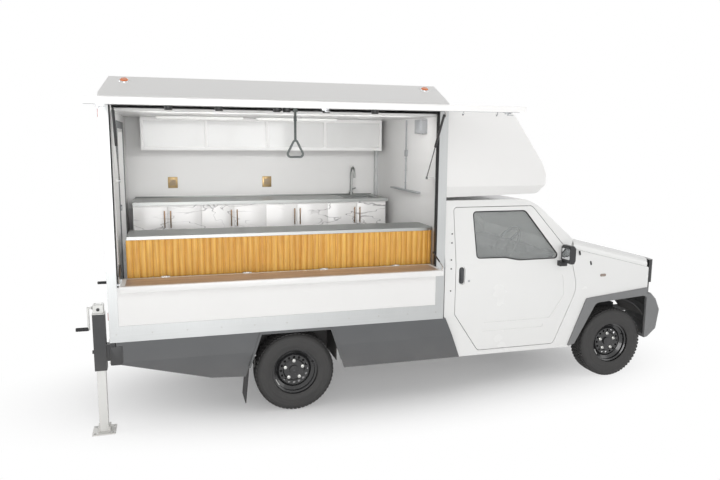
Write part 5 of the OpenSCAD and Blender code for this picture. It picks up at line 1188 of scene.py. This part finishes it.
# ---------- Steadying jacks ----------
# A white gear head with bearings and bolts on each black tube, a white crank
# with a ribbed rubber grip, and bolts through the foot plate.
jack_x, shaft_z, grip_z = -1504, 985, 822
crank_x, crank_r, grip_r = jack_x - 74, 8.7, 14.5
grip_near, grip_end, rib_pitch = -1582, -1669.5, 13
for side, word in ((-1, "right"), (1, "left")):
    y = side * jack_y
    head, bearings, grip = bmesh.new(), bmesh.new(), bmesh.new()
    add_blocks(head, ((jack_x - 38.5, y - 38.5, 947), (jack_x + 38.5, y + 38.5, 1010.8)),
               ((jack_x - 46, y - 46, 940), (jack_x + 46, y + 46, 945.6)))
    add_rod(head, (jack_x - 30, y, shaft_z), (crank_x, y, shaft_z), crank_r)
    add_rod(head, (crank_x, y, shaft_z + 8), (crank_x, y, grip_z - 8), crank_r)
    made(word + "_jack_head", head, jack_paint, "chassis", rounding=1.5)
    add_rod(bearings, (jack_x - 38, y, shaft_z), (jack_x - 46, y, shaft_z), 15, 13, 18)
    add_rod(bearings, (jack_x, y - side * 30, shaft_z - 7), (jack_x, y + side * 44, shaft_z - 7), 12, 12, 18)
    made(word + "_jack_bearings", bearings, lamp_black, "chassis", rounding=1.0)
    head_bolts = [(jack_x + dx, y + dy, 1010.3) for dx in (-26, 26) for dy in (-26, 26)]
    bolts(word + "_jack_head_bolts", head_bolts, "+z", 5, 4)
    add_rod(grip, (grip_near, y, grip_z), (grip_end, y, grip_z), grip_r, 14, 24)
    for i in range(6):
        rib = [(grip_near - 10 - i * rib_pitch, y + a, grip_z + b) for a, b in circle_section(14.4, 24)]
        add_sweep(grip, rib, circle_section(1.4, 6), closed=True)
    made(word + "_crank_grip", grip, black_rubber, "chassis", rounding=2.0)
    foot_bolts = [(jack_x + dx, y + dy, 10.4) for dx in (-66, 66) for dy in (-66, 66)]
    bolts(word + "_jack_foot_bolts", foot_bolts, "+z", 6, 5, 6, zinc, word + "_jack_leg")

# ---------- Under the body ----------
# Rubber mud flaps bolted behind the rear wheels, bolts along the frame rails,
# front brake hoses, and a fuel flap on the left side of the cab.
flap_top, flap_low, flap_x, flap_lean, flap_half = 470, 106, -378, 0.10, 3
rail_stations = (-1250, -1170, -640, -560, 560, 640, 1250, 1400, 1750, 1900, 2300, 2400)
hose_path = ((3040, 420, 470), (3030, 470, 440), (3020, 540, 410), (3030, 600, 380))
for side, word in ((-1, "right"), (1, "left")):
    y0, y1 = sorted((side * 610, side * 850))
    foot_x = flap_x - (flap_top - flap_low) * flap_lean
    bm = bmesh.new()
    add_plate(bm, [(foot_x - flap_half, flap_low), (foot_x + flap_half, flap_low),
                   (flap_x + flap_half, flap_top), (flap_x - flap_half, flap_top)], "y", y0, y1)
    made(word + "_mud_flap", bm, black_rubber, "chassis", rounding=0)
    bolts(word + "_flap_bolts", [(-384, y, 455) for y in (y0 + 20, (y0 + y1) / 2, y1 - 20)], "-x", 6, 4)
    rail = [(x, side * rail_y + side * 30.6, 480 + 65) for x in rail_stations]
    bolts(word + "_rail_bolts", rail, "-y" if side < 0 else "+y", 8, 6)
    bm = bmesh.new()
    add_sweep(bm, [(x, side * y, z) for x, y, z in hose_path], circle_section(6, 10))
    made(word + "_brake_hose", bm, black_rubber, "chassis", rounding=0)
bm = bmesh.new()
add_plate(bm, rounded_box(1368, 980, 1412, 1100, 14), "y", 869.4, 871.5)
made("fuel_flap", bm, cab_paint, "chassis", rounding=0.6)

# ---------- Dashboard details ----------
# Instrument hood with two round dials, air vents, radio panel, gear and brake
# levers, and three pedals.
hood, dials, controls = bmesh.new(), bmesh.new(), bmesh.new()
add_plate(hood, rounded_outline([(-520, 1190, 20), (-200, 1190, 20), (-215, 1262, 40), (-505, 1262, 40)]),
          "x", 2318, 2400)
for y in (-430, -290):
    add_rod(dials, (2316.5, y, 1226), (2318.4, y, 1226), 30, 30, 36)
add_blocks(controls, ((2292, -60, 1110), (2312, 120, 1160)), ((2294, -60, 1050), (2314, 120, 1090)))
vent_half, vent_low, vent_top = 55, 1112, 1160
for y in (-640, -110, 190, 640):
    add_plate(controls, rounded_box(y - vent_half, vent_low, y + vent_half, vent_top, 10), "x", 2288, 2316)
    for z in (1122, 1132, 1142):
        add_blocks(controls, ((2284, y - 46, z), (2290, y + 46, z + 4)))
gear_knob = (2132, 30, 918)
add_rod(controls, (2060, 30, 655), (2130, 30, 905), 9, 7)
bmesh.ops.create_uvsphere(controls, u_segments=20, v_segments=12, radius=24,
                          matrix=Matrix.Translation(gear_knob))
add_rod(controls, (1880, 60, 690), (2020, 60, 780), 12, 14)
for y in (-470, -370, -270):
    add_sweep(controls, [(2520, y, 900), (2450, y, 760), (2430, y, 726)], circle_section(7, 8))
    add_blocks(controls, ((2400, y - 32, 700), (2440, y + 32, 726)))
made("instrument_hood", hood, dash_plastic, "chassis", rounding=5)
made("dials", dials, lamp_black, "chassis", rounding=0.4)
made("cab_controls", controls, lamp_black, "chassis", rounding=1.5)
